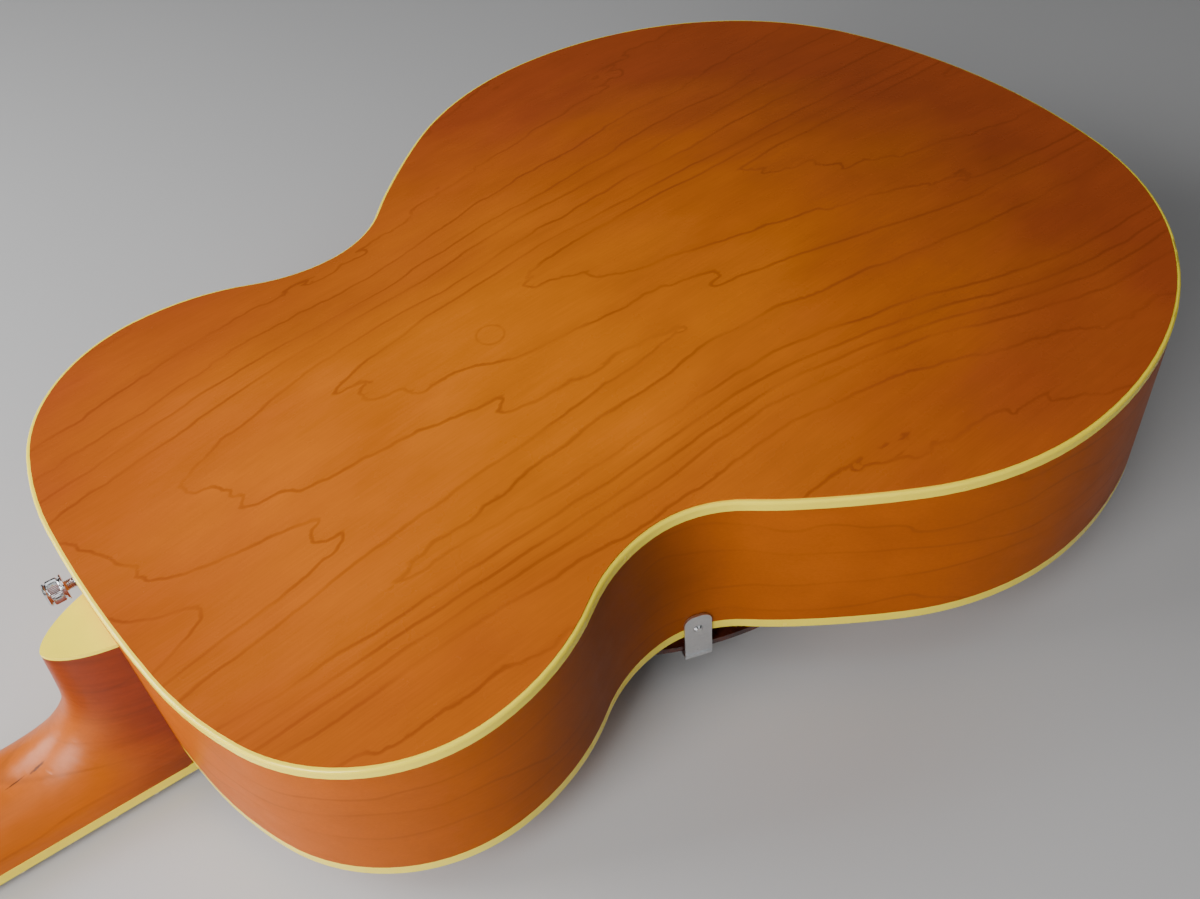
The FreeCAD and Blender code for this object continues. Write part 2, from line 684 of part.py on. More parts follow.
def neck_loft():
    """The shaft, the sweep of the heel and the run-out into the head, as one skin."""
    under, inside, turns = 3.0, 12.0, 9
    run_out = HEAD_FLARE_AT + HEAD_CORNER
    head_back = HEAD_IN_NECK.multVec(Vector(-run_out, 0, HEAD_THICKNESS - RUN_OUT_DROP))
    head_front = HEAD_IN_NECK.multVec(Vector(-run_out, 0, 0))
    half = HEAD_NECK_WIDTH / 2
    volute = (NUT_AT - VOLUTE_AT, SHAFT_AT_NUT + VOLUTE_RISE)
    sections = [
        back_of_neck_section((head_front.x, head_front.z), (head_back.x, head_back.z), half, HEAD_RUN_SHAPE),
        back_of_neck_section((NUT_AT - VOLUTE_AT, -under), volute, half, SHAFT_SHAPE),
    ]
    for share in (0.0, 0.4, 0.75):
        x = NUT_AT + (-HEEL_START - NUT_AT) * share
        thick = SHAFT_AT_NUT + (SHAFT_AT_HEEL - SHAFT_AT_NUT) * share
        sections.append(back_of_neck_section((x, -under), (x, thick), neck_half_width(x), SHAFT_SHAPE))
    heel_top = GLUE_DEPTH - HEEL_SETBACK
    lean = math.tan(math.radians(NECK_TILT))
    waist = HEEL_LENGTH + lean * heel_top - HEEL_HOLLOW
    low_edge = HEEL_HOLLOW_HEIGHT * 0.8
    for i in range(turns):
        share = i / (turns - 1)
        angle = share * math.pi / 2
        ridge_x = -HEEL_START + (HEEL_START - waist) * math.sin(angle)
        ridge_z = SHAFT_AT_HEEL + (HEEL_HOLLOW_HEIGHT - SHAFT_AT_HEEL) * (1 - math.cos(angle))
        edge_x = -HEEL_START + (HEEL_START + inside - lean * low_edge) * (1 - (1 - share) ** 3)
        edge_z = -under + (low_edge + under) * share ** 4
        sections.append(heel_section((edge_x, edge_z), (ridge_x, ridge_z), share / 2))
    for rise in (0.35, 0.7, 1.0, 1.3):
        ridge_x = -waist - HEEL_HOLLOW * rise ** 2
        ridge_z = HEEL_HOLLOW_HEIGHT + (heel_top - HEEL_HOLLOW_HEIGHT) * rise
        edge_z = low_edge + (heel_top - low_edge) * rise
        share = min((1 + rise) / 2, 1.0)
        sections.append(heel_section((inside - lean * edge_z, edge_z), (ridge_x, ridge_z), share))
    return skinned(sections)


def heel_section(edge, ridge, share):
    """A slanted section of the heel, whose width falls evenly from the shaft to the heel cap."""
    shape = blend(SHAFT_SHAPE, HEEL_SHAPE, share)
    half = neck_half_width(edge[0])
    if edge[0] > 0:
        at_face = edge[1] + (ridge[1] - edge[1]) * edge[0] / (edge[0] - ridge[0])
        fall = max(at_face, 0.0) / (GLUE_DEPTH - HEEL_SETBACK)
        half = (half + (HEEL_HALF_WIDTH - half) * fall) * (1 + HEEL_FLARE * share)
    return back_of_neck_section(edge, ridge, half, shape)


def head_outline(inset=0.0):
    """The head's plan: a flare from the nut, straight sides and a low crown."""
    neck, flare, tip = (width / 2 - inset for width in (HEAD_NECK_WIDTH, HEAD_FLARE_WIDTH, HEAD_TIP_WIDTH))
    end = HEAD_LENGTH - inset
    side = Vector(-end + HEAD_CROWN + HEAD_CORNER, tip, 0)
    top = Vector(-end + HEAD_CROWN, tip - HEAD_CORNER, 0)
    corner = side + (top - side) / 2 + Vector(-1, 1, 0) * (HEAD_CORNER * 0.2)
    start, bend = Vector(0, neck, 0), Vector(-HEAD_FLARE_AT, flare, 0)
    swell = Vector(-HEAD_FLARE_AT * 0.55, neck + (flare - neck) * 0.4, 0)

    def flip(point):
        return Vector(point.x, -point.y, 0)

    edges = [
        Part.Arc(start, swell, bend).toShape(),
        Part.LineSegment(bend, side).toShape(),
        Part.Arc(side, corner, top).toShape(),
        Part.Arc(top, Vector(-end, 0, 0), flip(top)).toShape(),
        Part.Arc(flip(top), flip(corner), flip(side)).toShape(),
        Part.LineSegment(flip(side), flip(bend)).toShape(),
        Part.Arc(flip(bend), flip(swell), flip(start)).toShape(),
        Part.LineSegment(flip(start), start).toShape(),
    ]
    return Part.Face(Part.Wire(edges))


def head_half_width(x):
    """Half the head's width on its straight sides, a distance from the nut."""
    straight = HEAD_LENGTH - HEAD_CROWN - HEAD_CORNER - HEAD_FLARE_AT
    return (HEAD_FLARE_WIDTH + (HEAD_TIP_WIDTH - HEAD_FLARE_WIDTH) * (x - HEAD_FLARE_AT) / straight) / 2


def tuner_places():
    """Post centres in the head frame: the bass side from the nut, then the treble side from the tip."""
    along = [TUNER_FIRST + TUNER_STEP * i for i in range(3)]
    bass = [(-x, head_half_width(x) - TUNER_EDGE) for x in along]
    return bass + [(x, -y) for x, y in reversed(bass)]


def board_prism(inset, end_inset, depth):
    """The fingerboard's plan with its crown, from the glue plane down."""
    start, end = NUT_AT, BOARD_END - end_inset
    plan = [Vector(start, neck_half_width(start) - inset, 0), Vector(end, neck_half_width(end) - inset, 0),
            Vector(end, inset - neck_half_width(end), 0), Vector(start, inset - neck_half_width(start), 0)]
    crown = Part.makeCylinder(BOARD_RADIUS, 2 * SCALE_LENGTH,
                              Vector(-SCALE_LENGTH, 0, BOARD_RADIUS - BOARD_THICKNESS), X_AXIS)
    return polygon_prism(plan, Vector(0, 0, -depth)).common(crown)


def fret_place(number):
    return NUT_AT + SCALE_LENGTH * (1 - 2 ** (-number / 12))


def curved_bar(profile, half):
    """A profile in (x, depth) swept round the fingerboard's crown, to a half width on each side."""
    axis = Vector(0, 0, BOARD_RADIUS - BOARD_THICKNESS)
    swing = math.degrees(math.asin(half / BOARD_RADIUS))
    face = Part.Face(profile)
    face.rotate(axis, X_AXIS, -swing)
    return face.revolve(axis, X_AXIS, 2 * swing)


def frets_and_tangs():
    crowns, tangs = [], []
    surface = -BOARD_THICKNESS
    for number in range(1, FRET_COUNT + 1):
        x = fret_place(number)
        left, right = (Vector(x + side * FRET_WIDTH / 2, 0, surface) for side in (-1, 1))
        arc = Part.Arc(left, Vector(x, 0, surface - FRET_HEIGHT), right).toShape()
        outline = Part.Wire([arc, Part.LineSegment(right, left).toShape()])
        crown = curved_bar(outline, neck_half_width(x) - FRET_SETBACK)
        corners = [Vector(x + side * TANG_WIDTH / 2, 0, surface + depth)
                   for side, depth in ((-1, 0), (1, 0), (1, TANG_DEPTH), (-1, TANG_DEPTH))]
        tang = curved_bar(Part.makePolygon(corners + corners[:1]), neck_half_width(x) - BOARD_BINDING)
        tangs.append(tang)
        crowns.append(crown.fuse(tang))
    return crowns, tangs


def dot_cylinders():
    """Position dots between the frets, two at the octave."""
    dots = []
    for number in (3, 5, 7, 9, 12, 15, 17, 19):
        x = (fret_place(number) + fret_place(number - 1)) / 2
        sides = (-1, 1) if number == 12 else (0,)
        for side in sides:
            y = side * neck_half_width(x) / 2
            dots.append(Part.makeCylinder(DOT_RADIUS, BOARD_THICKNESS,
                                          Vector(x, y, DOT_DEPTH - 2 * BOARD_THICKNESS)))
    return dots


def crown_rise(y):
    return BOARD_RADIUS - math.sqrt(BOARD_RADIUS ** 2 - y ** 2)


def string_sides(spread):
    return [spread * (0.5 - i / 5) for i in range(6)]


def wrap_way(run, side):
    """Square to a string's run, along the head's face and away from its centre line."""
    ahead = Vector(run).normalize()
    across = HEAD_IN_STRING.Rotation.multVec(Vector(0, side, 0))
    return (across - ahead * across.dot(ahead)).normalize()


def string_points():
    """Each string's corner points in the string frame: tailpiece, saddle, nut, post."""
    nut_x = NECK_IN_STRING.multVec(Vector(NUT_AT - NUT_LENGTH / 2, 0, 0)).x
    routes = []
    sides = zip(STRING_DIAMETERS, string_sides(TAIL_SPREAD), string_sides(SADDLE_SPREAD),
                string_sides(NUT_SPREAD), tuner_places())
    for diameter, tail_y, saddle_y, nut_y, (post_x, post_y) in sides:
        tail = Vector(BAR_AT + BAR_LENGTH + BALL_GAP, tail_y, BAR_LEVEL)
        saddle = Vector(0, saddle_y, crown_rise(saddle_y) + diameter / 2)
        nut = Vector(nut_x, nut_y, crown_rise(nut_y) + diameter / 2)
        centre = HEAD_IN_STRING.multVec(Vector(post_x, post_y, -HEAD_PLATE_THICKNESS - STRING_LEVEL))
        post = centre
        for _ in range(3):
            post = centre - wrap_way(post - nut, math.copysign(1, post_y)) * wrap_radius(diameter)
        routes.append((tail, saddle, nut, post))
    return routes


def wrap_radius(diameter):
    return POST_WAIST + diameter / 2 + WRAP_CLEARANCE


def string_path(route, radius, post_side):
    """A string's centre line, with a last three quarters of a turn round its post."""
    points = list(route)
    run = (points[3] - points[2]).normalize()
    outward = wrap_way(run, post_side)
    centre = points[3] + outward * radius
    edges = rounded_path(points, (BEND_RADIUS, BEND_RADIUS)).Edges
    quarter = math.pi / 2

    def around(angle):
        return centre - outward * (radius * math.cos(angle)) + run * (radius * math.sin(angle))

    for i in range(3):
        stops = [around(quarter * (i + part / 2)) for part in range(3)]
        edges.append(Part.Arc(*stops).toShape())
    return Part.Wire(edges)


def string_slot(corner, way, half):
    """An open slot with a round floor, from a string's corner point along one of its runs."""
    side, low = Vector(0, half, 0), Vector(0, 0, -SLOT_DEPTH)
    floor = Part.Arc(corner - side, corner + Vector(0, 0, half), corner + side).toShape()
    walls = Part.makePolygon([corner + side, corner + side + low, corner - side + low, corner - side])
    return Part.Face(Part.Wire([floor] + walls.Edges)).extrude(way.normalize() * SADDLE_FOOT)


def strings_and_slots():
    """The six strings, and the open slots that the nut and the saddle have for them."""
    strings, slots = [], []
    sides = [math.copysign(1, y) for _, y in tuner_places()]
    for route, diameter, side in zip(string_points(), STRING_DIAMETERS, sides):
        string = pipe(string_path(route, wrap_radius(diameter), side), diameter / 2)
        tail, saddle, nut, post = route
        away = (tail - saddle).normalize()
        ball = Part.makeCylinder(BALL_RADIUS, BALL_LENGTH, tail, away)
        strings.append(Part.makeCompound([string, ball]))
        for corner, ends in ((saddle, (tail, nut)), (nut, (saddle, post))):
            slots += [string_slot(corner, end - corner, diameter / 2 + STRING_CLEARANCE) for end in ends]
    return strings, slots


def neck_nodes(slots):
    body = outline_prism(0).common(slab(back_level(0), front_level(TONGUE_ROOT - OVERSTAND)))
    body = placed(body, BODY_IN_NECK)
    skin = neck_loft()
    reach = (-2 * SCALE_LENGTH, 2 * SCALE_LENGTH)
    behind_board = box(reach, (-SIDE_REACH, SIDE_REACH), (0, 2 * SIDE_REACH))
    skin = skin.common(behind_board).cut(body)
    cap_levels = (back_level(HEEL_SETBACK), back_level(HEEL_SETBACK + HEEL_CAP_THICKNESS))
    heel_cap = skin.common(placed(slab(*cap_levels), BODY_IN_NECK))
    beyond_cap = placed(slab(back_level(-2 * OVERSHOOT), cap_levels[1]), BODY_IN_NECK)
    tip = BOARD_END - BOARD_OVERHANG
    tongue = [Vector(x, -TONGUE_WIDTH / 2, z) for x, z in (
        (-BOARD_BINDING, 0), (tip, 0), (tip, TONGUE_TIP), (-BOARD_BINDING, TONGUE_ROOT))]
    tongue = polygon_prism(tongue, Vector(0, TONGUE_WIDTH, 0))
    head = placed(head_outline().extrude(Vector(0, 0, HEAD_THICKNESS)), HEAD_IN_NECK)
    before_head = box((-2 * HEAD_LENGTH, 0), (-SIDE_REACH, SIDE_REACH), (-SIDE_REACH, 0))
    before_head = placed(before_head, HEAD_IN_NECK)
    neck = skin.cut(beyond_cap).cut(before_head).fuse([head, tongue, placed(tenon(0), BODY_IN_NECK)])

    pocket = truss_pocket()
    channel = box((NUT_AT - NUT_LENGTH, -TRUSS_ROD_RADIUS), (-TRUSS_ROD_RADIUS, TRUSS_ROD_RADIUS),
                  (-TRUSS_ROD_RADIUS, TRUSS_ROD_DEPTH))
    tunnel = rod(on_rod(NUT_AT - NUT_LENGTH), on_rod(-TRUSS_ROD_RADIUS), TRUSS_ROD_RADIUS)
    post_holes = []
    for x, y in tuner_places():
        hole = Part.makeCylinder(BUSHING_RADIUS, 4 * HEAD_THICKNESS, Vector(x, y, -2 * HEAD_THICKNESS))
        post_holes.append(placed(hole, HEAD_IN_NECK))
    holes = Part.makeCompound(post_holes)
    neck = neck.cut([channel, tunnel, pocket]).cut(holes).removeSplitter()

    plate = head_outline().extrude(Vector(0, 0, -HEAD_PLATE_THICKNESS))
    head_plate = placed(plate, HEAD_IN_NECK).cut(holes).cut(pocket)

    crowns, tangs = frets_and_tangs()
    dots = dot_cylinders()
    core = board_prism(BOARD_BINDING, BOARD_BINDING, 2 * BOARD_THICKNESS)
    whole = board_prism(0, 0, 2 * BOARD_THICKNESS)
    dot_holes = Part.makeCompound(dots)
    nut_half = NUT_WIDTH / 2
    blank = box((NUT_AT - NUT_LENGTH, NUT_AT), (-nut_half, nut_half), (-2 * STRING_DEPTH_NUT, 0))
    crown = Part.makeCylinder(BOARD_RADIUS, SCALE_LENGTH,
                              Vector(NUT_AT - SCALE_LENGTH / 2, 0, BOARD_RADIUS - STRING_DEPTH_NUT), X_AXIS)
    nut = blank.common(crown).cut([placed(slot, STRING_IN_NECK) for slot in slots])

    end, bore_end = TRUSS_NUT_END, TRUSS_NUT_END + TRUSS_KEY_DEPTH + 1
    truss_nut = rod(on_rod(end), on_rod(end + TRUSS_NUT_LENGTH), TRUSS_NUT_RADIUS)
    bore = rod(on_rod(bore_end), on_rod(0), TRUSS_ROD_RADIUS + RUNNING_CLEARANCE)
    corners = [turn(X_AXIS, i * math.pi / 3) * TRUSS_KEY_RADIUS for i in range(6)]
    key_hole = polygon_prism([on_rod(end - 1) + Vector(0, point.x, point.y) for point in corners],
                             Vector(TRUSS_KEY_DEPTH + 1, 0, 0))
    truss_rod = rod(on_rod(bore_end + 1), on_rod(-TRUSS_ROD_RADIUS), TRUSS_ROD_RADIUS)
    return {
        "neck": neck,
        "heel_cap": heel_cap,
        "head_plate": head_plate,
        "fingerboard": core.cut(Part.makeCompound(tangs)).cut(dot_holes),
        "fingerboard_binding": whole.cut(core),
        "frets": Part.makeCompound(crowns),
        "position_dots": Part.makeCompound([dot.common(core) for dot in dots]),
        "nut": nut,
        "truss_rod": truss_rod,
        "truss_rod_nut": truss_nut.cut(bore).cut(key_hole),
        "truss_rod_cover": placed(truss_cover(), HEAD_IN_NECK),
    }


def on_rod(x):
    """A point on the truss rod's axis."""
    return Vector(x, 0, TRUSS_ROD_DEPTH)


def truss_pocket():
    """The recess at the nut where the truss rod's nut can be reached, in the neck frame."""
    half, start = TRUSS_NUT_RADIUS + TRUSS_POCKET_SIDE, NUT_AT - NUT_LENGTH
    pocket = box((POCKET_END, start), (-half, half), (-TRUSS_ROD_DEPTH, TRUSS_ROD_DEPTH))
    return pocket.fuse(rod(on_rod(POCKET_END), on_rod(start), half))


def truss_cover():
    """A plain bell-shaped plate over the truss rod's recess, in the head frame."""
    wide, tip, waist = COVER_WIDTH / 2, COVER_TIP_WIDTH / 2, COVER_TIP_WIDTH / 2 + 1
    near, far, level = -COVER_SETBACK, -COVER_LENGTH, -HEAD_PLATE_THICKNESS
    middle, shoulder = far * 0.45, far + tip
    base, side, end = ([Vector(x, sign * y, level) for sign in (1, -1)]
                       for x, y in ((near, wide), (middle, waist), (shoulder, tip)))
    edges = [
        Part.LineSegment(base[1], base[0]).toShape(),
        Part.Arc(base[0], side[0], end[0]).toShape(),
        Part.Arc(end[0], Vector(far, 0, level), end[1]).toShape(),
        Part.Arc(end[1], side[1], base[1]).toShape(),
    ]
    return Part.Face(Part.Wire(edges)).extrude(Vector(0, 0, -COVER_THICKNESS))


def worm_wheel():
    """A wheel with straight tapered teeth, one tooth pointing along x, on the head's back."""
    root, tip = WHEEL_PITCH_RADIUS - WHEEL_ROOT_DROP, WHEEL_PITCH_RADIUS + WHEEL_TIP_RISE
    low = Vector(0, 0, WORM_LEVEL - WHEEL_WIDTH / 2)
    flank = ((root, -TOOTH_ROOT), (tip, -TOOTH_TIP), (tip, TOOTH_TIP), (root, TOOTH_ROOT))
    points = []
    for i in range(WHEEL_TEETH):
        middle = 2 * math.pi * i / WHEEL_TEETH
        points += [turn(X_AXIS, middle + width / 2 / radius) * radius + low for radius, width in flank]
    return polygon_prism(points, Vector(0, 0, WHEEL_WIDTH))


def worm():
    """A single-start worm on its shaft, lying along y beside the wheel, with the button's end outwards."""
    height = WORM_LEAD * WORM_TURNS
    helix = Part.makeHelix(WORM_LEAD, height, WORM_CORE)
    inner = WORM_CORE - 0.3
    profile = [Vector(inner, 0, -THREAD_ROOT / 2), Vector(WORM_TIP, 0, -THREAD_TIP / 2),
               Vector(WORM_TIP, 0, THREAD_TIP / 2), Vector(inner, 0, THREAD_ROOT / 2)]
    thread = Part.Wire(helix).makePipeShell([Part.makePolygon(profile + profile[:1])], True, True)
    thread.translate(Vector(0, 0, -height / 2))
    inner_end = EAR_SPACING / 2 + EAR_THICKNESS + 0.8
    shaft = Part.makeCylinder(WORM_CORE, inner_end + KEY_REACH - BUTTON_LENGTH / 2, Vector(0, 0, -inner_end))
    frame = Placement(Vector(WORM_OFFSET, 0, WORM_LEVEL), Rotation(X_AXIS, -90))
    return placed(shaft.fuse(thread), frame)


def tuner_button():
    """A key button: an oval lens on a short neck, bored for the worm's shaft."""
    middle = Vector(0, KEY_REACH - BUTTON_LENGTH / 2 + BUTTON_NECK / 2, 0)
    rim, bulge = BUTTON_RIM / 2, (BUTTON_THICKNESS - BUTTON_RIM) / 2
    radius = (BUTTON_WIDTH ** 2 / 4 + bulge ** 2) / (2 * bulge)
    oval = Part.Ellipse(middle, BUTTON_WIDTH / 2, (BUTTON_LENGTH - BUTTON_NECK) / 2).toShape()
    lens = Part.Face(Part.Wire(oval)).extrude(Vector(0, 0, BUTTON_THICKNESS))
    lens.translate(Vector(0, 0, -BUTTON_THICKNESS / 2))
    for side in (1, -1):
        lens = lens.common(Part.makeSphere(radius, middle + Vector(0, 0, side * (rim + bulge - radius))))
    neck = rod(Vector(0, KEY_REACH - BUTTON_LENGTH, 0), middle, WORM_CORE + BUTTON_WALL)
    bore = rod(Vector(0, 0, 0), Vector(0, KEY_REACH - BUTTON_LENGTH / 2, 0), WORM_CORE)
    button = lens.fuse(neck).cut(bore)
    button.translate(Vector(WORM_OFFSET, 0, WORM_LEVEL))
    return button


def tuner_plate():
    """The base plate on the head's back with two ears for the worm and holes for post and screws."""
    half = EAR_SPACING / 2 + EAR_THICKNESS + PLATE_SIDE
    plate = box((-PLATE_TAIL, WORM_OFFSET + PLATE_LEAD), (-half, half), (0, TUNER_PLATE_THICKNESS))
    plate = plate.makeFillet(PLATE_CORNER, [e for e in plate.Edges if abs(e.tangentAt(0).z) > 0.9])
    for side in (-1, 1):
        low = side * (EAR_SPACING / 2 + EAR_THICKNESS / 2) - EAR_THICKNESS / 2
        ear = box((WORM_OFFSET - EAR_RADIUS, WORM_OFFSET + EAR_RADIUS), (low, low + EAR_THICKNESS),
                  (0, WORM_LEVEL))
        cap = Part.makeCylinder(EAR_RADIUS, EAR_THICKNESS, Vector(WORM_OFFSET, low, WORM_LEVEL), Y_AXIS)
        plate = plate.fuse([ear, cap])
    shaft = rod(Vector(WORM_OFFSET, -half, WORM_LEVEL), Vector(WORM_OFFSET, half, WORM_LEVEL),
                WORM_CORE + RUNNING_CLEARANCE)
    low = Vector(0, 0, -HEAD_THICKNESS)
    post = Part.makeCylinder(POST_RADIUS + RUNNING_CLEARANCE, 2 * HEAD_THICKNESS, low)
    screws = [Part.makeCylinder(SCREW_RADIUS, 2 * HEAD_THICKNESS, low + place)
              for place in tuner_screw_places()]
    return plate.cut(Part.makeCompound([shaft, post] + screws)).removeSplitter()


def tuner_screw_places():
    return [Vector(-TUNER_SCREW_BACK, side * TUNER_SCREW_SIDE, 0) for side in (-1, 1)]


def tuner_post():
    """The string post with its collar and the wheel's screw, along z through the head."""
    tip = -HEAD_THICKNESS - HEAD_PLATE_THICKNESS - POST_REACH
    waist = tip + POST_REACH - STRING_LEVEL
    narrow, wide = POST_WAIST_LENGTH / 2, POST_WAIST_LENGTH / 2 + POST_FLARE
    collar = TUNER_PLATE_THICKNESS + PLATE_GAP
    wheel_low, wheel_top = WORM_LEVEL - WHEEL_WIDTH / 2, WORM_LEVEL + WHEEL_WIDTH / 2
    end = wheel_top + POST_SCREW_HEIGHT
    post = turned([
        (0, tip), (POST_RADIUS - POST_CHAMFER, tip), (POST_RADIUS, tip + POST_CHAMFER),
        (POST_RADIUS, waist - wide), (POST_WAIST, waist - narrow),
        (POST_WAIST, waist + narrow), (POST_RADIUS, waist + wide),
        (POST_RADIUS, collar), (POST_RADIUS + POST_COLLAR, collar), (POST_RADIUS + POST_COLLAR, wheel_low),
        (POST_WAIST, wheel_low), (POST_WAIST, wheel_top), (POST_RADIUS, wheel_top),
        (POST_RADIUS - POST_CHAMFER / 2, end), (0, end),
    ])
    level = waist - wide - POST_HOLE / 2
    hole = Part.makeCylinder(POST_HOLE, 3 * POST_RADIUS, Vector(-1.5 * POST_RADIUS, 0, level), X_AXIS)
    return post.cut(hole)


def tuner_nodes():
    """Six tuners on the head, numbered from the bass string, all in the head frame."""
    plate, post, key, button = tuner_plate(), tuner_post(), worm(), tuner_button()
    wheel = worm_wheel().cut(Part.makeCylinder(POST_WAIST + WHEEL_FIT, HEAD_THICKNESS, Vector(0, 0, 0)))
    post = Part.makeCompound([post, wheel])
    bore = POST_RADIUS + RUNNING_CLEARANCE
    bushing = turned([
        (bore, BUSHING_HEIGHT), (BUSHING_FLANGE - BUSHING_HEIGHT / 2, BUSHING_HEIGHT),
        (BUSHING_FLANGE, BUSHING_HEIGHT / 2), (BUSHING_FLANGE, 0), (BUSHING_RADIUS, 0),
        (BUSHING_RADIUS, -BUSHING_DEPTH), (bore, -BUSHING_DEPTH)], Vector(0, 0, 0), Z_AXIS * -1)
    nodes, plates, bushings = {}, [], []
    for number, (x, y) in enumerate(tuner_places(), 1):
        back = Placement(Vector(x, y, HEAD_THICKNESS), Rotation())
        front = Placement(Vector(x, y, -HEAD_PLATE_THICKNESS), Rotation())
        pieces = [plate, post, key, button]
        if y < 0:
            pieces = [mirrored(piece) for piece in pieces]
        pieces = [placed(piece, back) for piece in pieces]
        plates.append(pieces[0])
        nodes[f"tuner_post_{number}"] = pieces[1]
        nodes[f"tuner_key_{number}"] = pieces[2]
        nodes[f"tuner_button_{number}"] = pieces[3]
        bushings.append(placed(bushing, front))
    nodes["tuner_plates"] = Part.makeCompound(plates)
    nodes["tuner_bushings"] = Part.makeCompound(bushings)
    return nodes


def top_level_at(x, y):
    """Height of the top plate's face in the string frame, over a point of the body."""
    z = front_level(0)(x) - TOP_ARCH * arch_height(x, y)
    return BODY_IN_STRING.multVec(Vector(x, y, z)).z


def bridge_nodes(slots):
    """The bridge in the string frame: base on the top, posts, two wheels and the saddle."""
    wheel_top = SADDLE_HEIGHT + THUMBWHEEL_HEIGHT
    base_face = wheel_top + THUMBWHEEL_GAP
    centre = BODY_IN_STRING.inverse().multVec(Vector(0, 0, 0)).x
    half, shoulder = BASE_LENGTH / 2, POST_SPREAD / 2 + BASE_SHOULDER
    end_level = top_level_at(centre, half) - BASE_END_HEIGHT
    above = base_face + 2 * OVERSHOOT
    profile = [Vector(-BASE_WIDTH / 2, y, z) for y, z in (
        (-half, end_level), (-shoulder, base_face), (shoulder, base_face),
        (half, end_level), (half, above), (-half, above))]
    base = polygon_prism(profile, Vector(BASE_WIDTH, 0, 0))
    base = base.common(placed(front_space(2 * OVERSHOOT), BODY_IN_STRING))
    crown_level = top_level_at(centre, 0)
    relief = Part.Arc(Vector(-BASE_WIDTH, -shoulder / 2, crown_level + BASE_ARCH),
                      Vector(-BASE_WIDTH, 0, crown_level - BASE_ARCH),
                      Vector(-BASE_WIDTH, shoulder / 2, crown_level + BASE_ARCH)).toShape()
    closing = Part.LineSegment(Vector(-BASE_WIDTH, shoulder / 2, crown_level + BASE_ARCH),
                               Vector(-BASE_WIDTH, -shoulder / 2, crown_level + BASE_ARCH)).toShape()
    base = base.cut(Part.Face(Part.Wire([relief, closing])).extrude(Vector(2 * BASE_WIDTH, 0, 0)))

    posts, sockets, wheels = [], [], []
    for side in (1, -1):
        y = side * POST_SPREAD / 2
        low = SADDLE_HEIGHT - SADDLE_SOCKET + SOCKET_SPARE
        posts.append(rod(Vector(0, y, low), Vector(0, y, base_face + POST_SEAT), BRIDGE_POST_RADIUS))
        sockets.append(rod(Vector(0, y, SADDLE_HEIGHT - SADDLE_SOCKET), Vector(0, y, 2 * SADDLE_HEIGHT),
                           BRIDGE_POST_RADIUS + RUNNING_CLEARANCE))
        wheels.append(thumbwheel(Vector(0, y, SADDLE_HEIGHT)))

    foot, crown, reach = SADDLE_FOOT / 2, SADDLE_CROWN / 2, SADDLE_LENGTH / 2
    section = [Vector(x, -reach, z) for x, z in (
        (-foot, SADDLE_HEIGHT), (-foot, SADDLE_WAIST), (-crown, -1), (crown, -1),
        (foot, SADDLE_WAIST), (foot, SADDLE_HEIGHT))]
    saddle = polygon_prism(section, Vector(0, SADDLE_LENGTH, 0))
    round_top = Part.makeCylinder(BOARD_RADIUS, 4 * foot, Vector(-2 * foot, 0, BOARD_RADIUS), X_AXIS)
    saddle = saddle.common(round_top)
    return {
        "bridge_base": base.cut(Part.makeCompound(posts)),
        "bridge_posts": Part.makeCompound(posts),
        "bridge_saddle": saddle.cut(sockets + slots),
        "thumbwheel_bass": wheels[0],
        "thumbwheel_treble": wheels[1],
    }


def thumbwheel(place):
    """A knurled wheel with a bore for its post."""
    wheel = Part.makeCylinder(WHEEL_RADIUS, THUMBWHEEL_HEIGHT, place)
    bore = Part.makeCylinder(BRIDGE_POST_RADIUS + RUNNING_CLEARANCE, THUMBWHEEL_HEIGHT, place)
    grooves = []
    for i in range(THUMBWHEEL_GROOVES):
        way = turn(X_AXIS, 2 * math.pi * i / THUMBWHEEL_GROOVES) * (WHEEL_RADIUS + GROOVE_OUTSIDE)
        grooves.append(Part.makeCylinder(GROOVE_RADIUS, THUMBWHEEL_HEIGHT, place + way))
    return wheel.cut(Part.makeCompound([bore] + grooves))


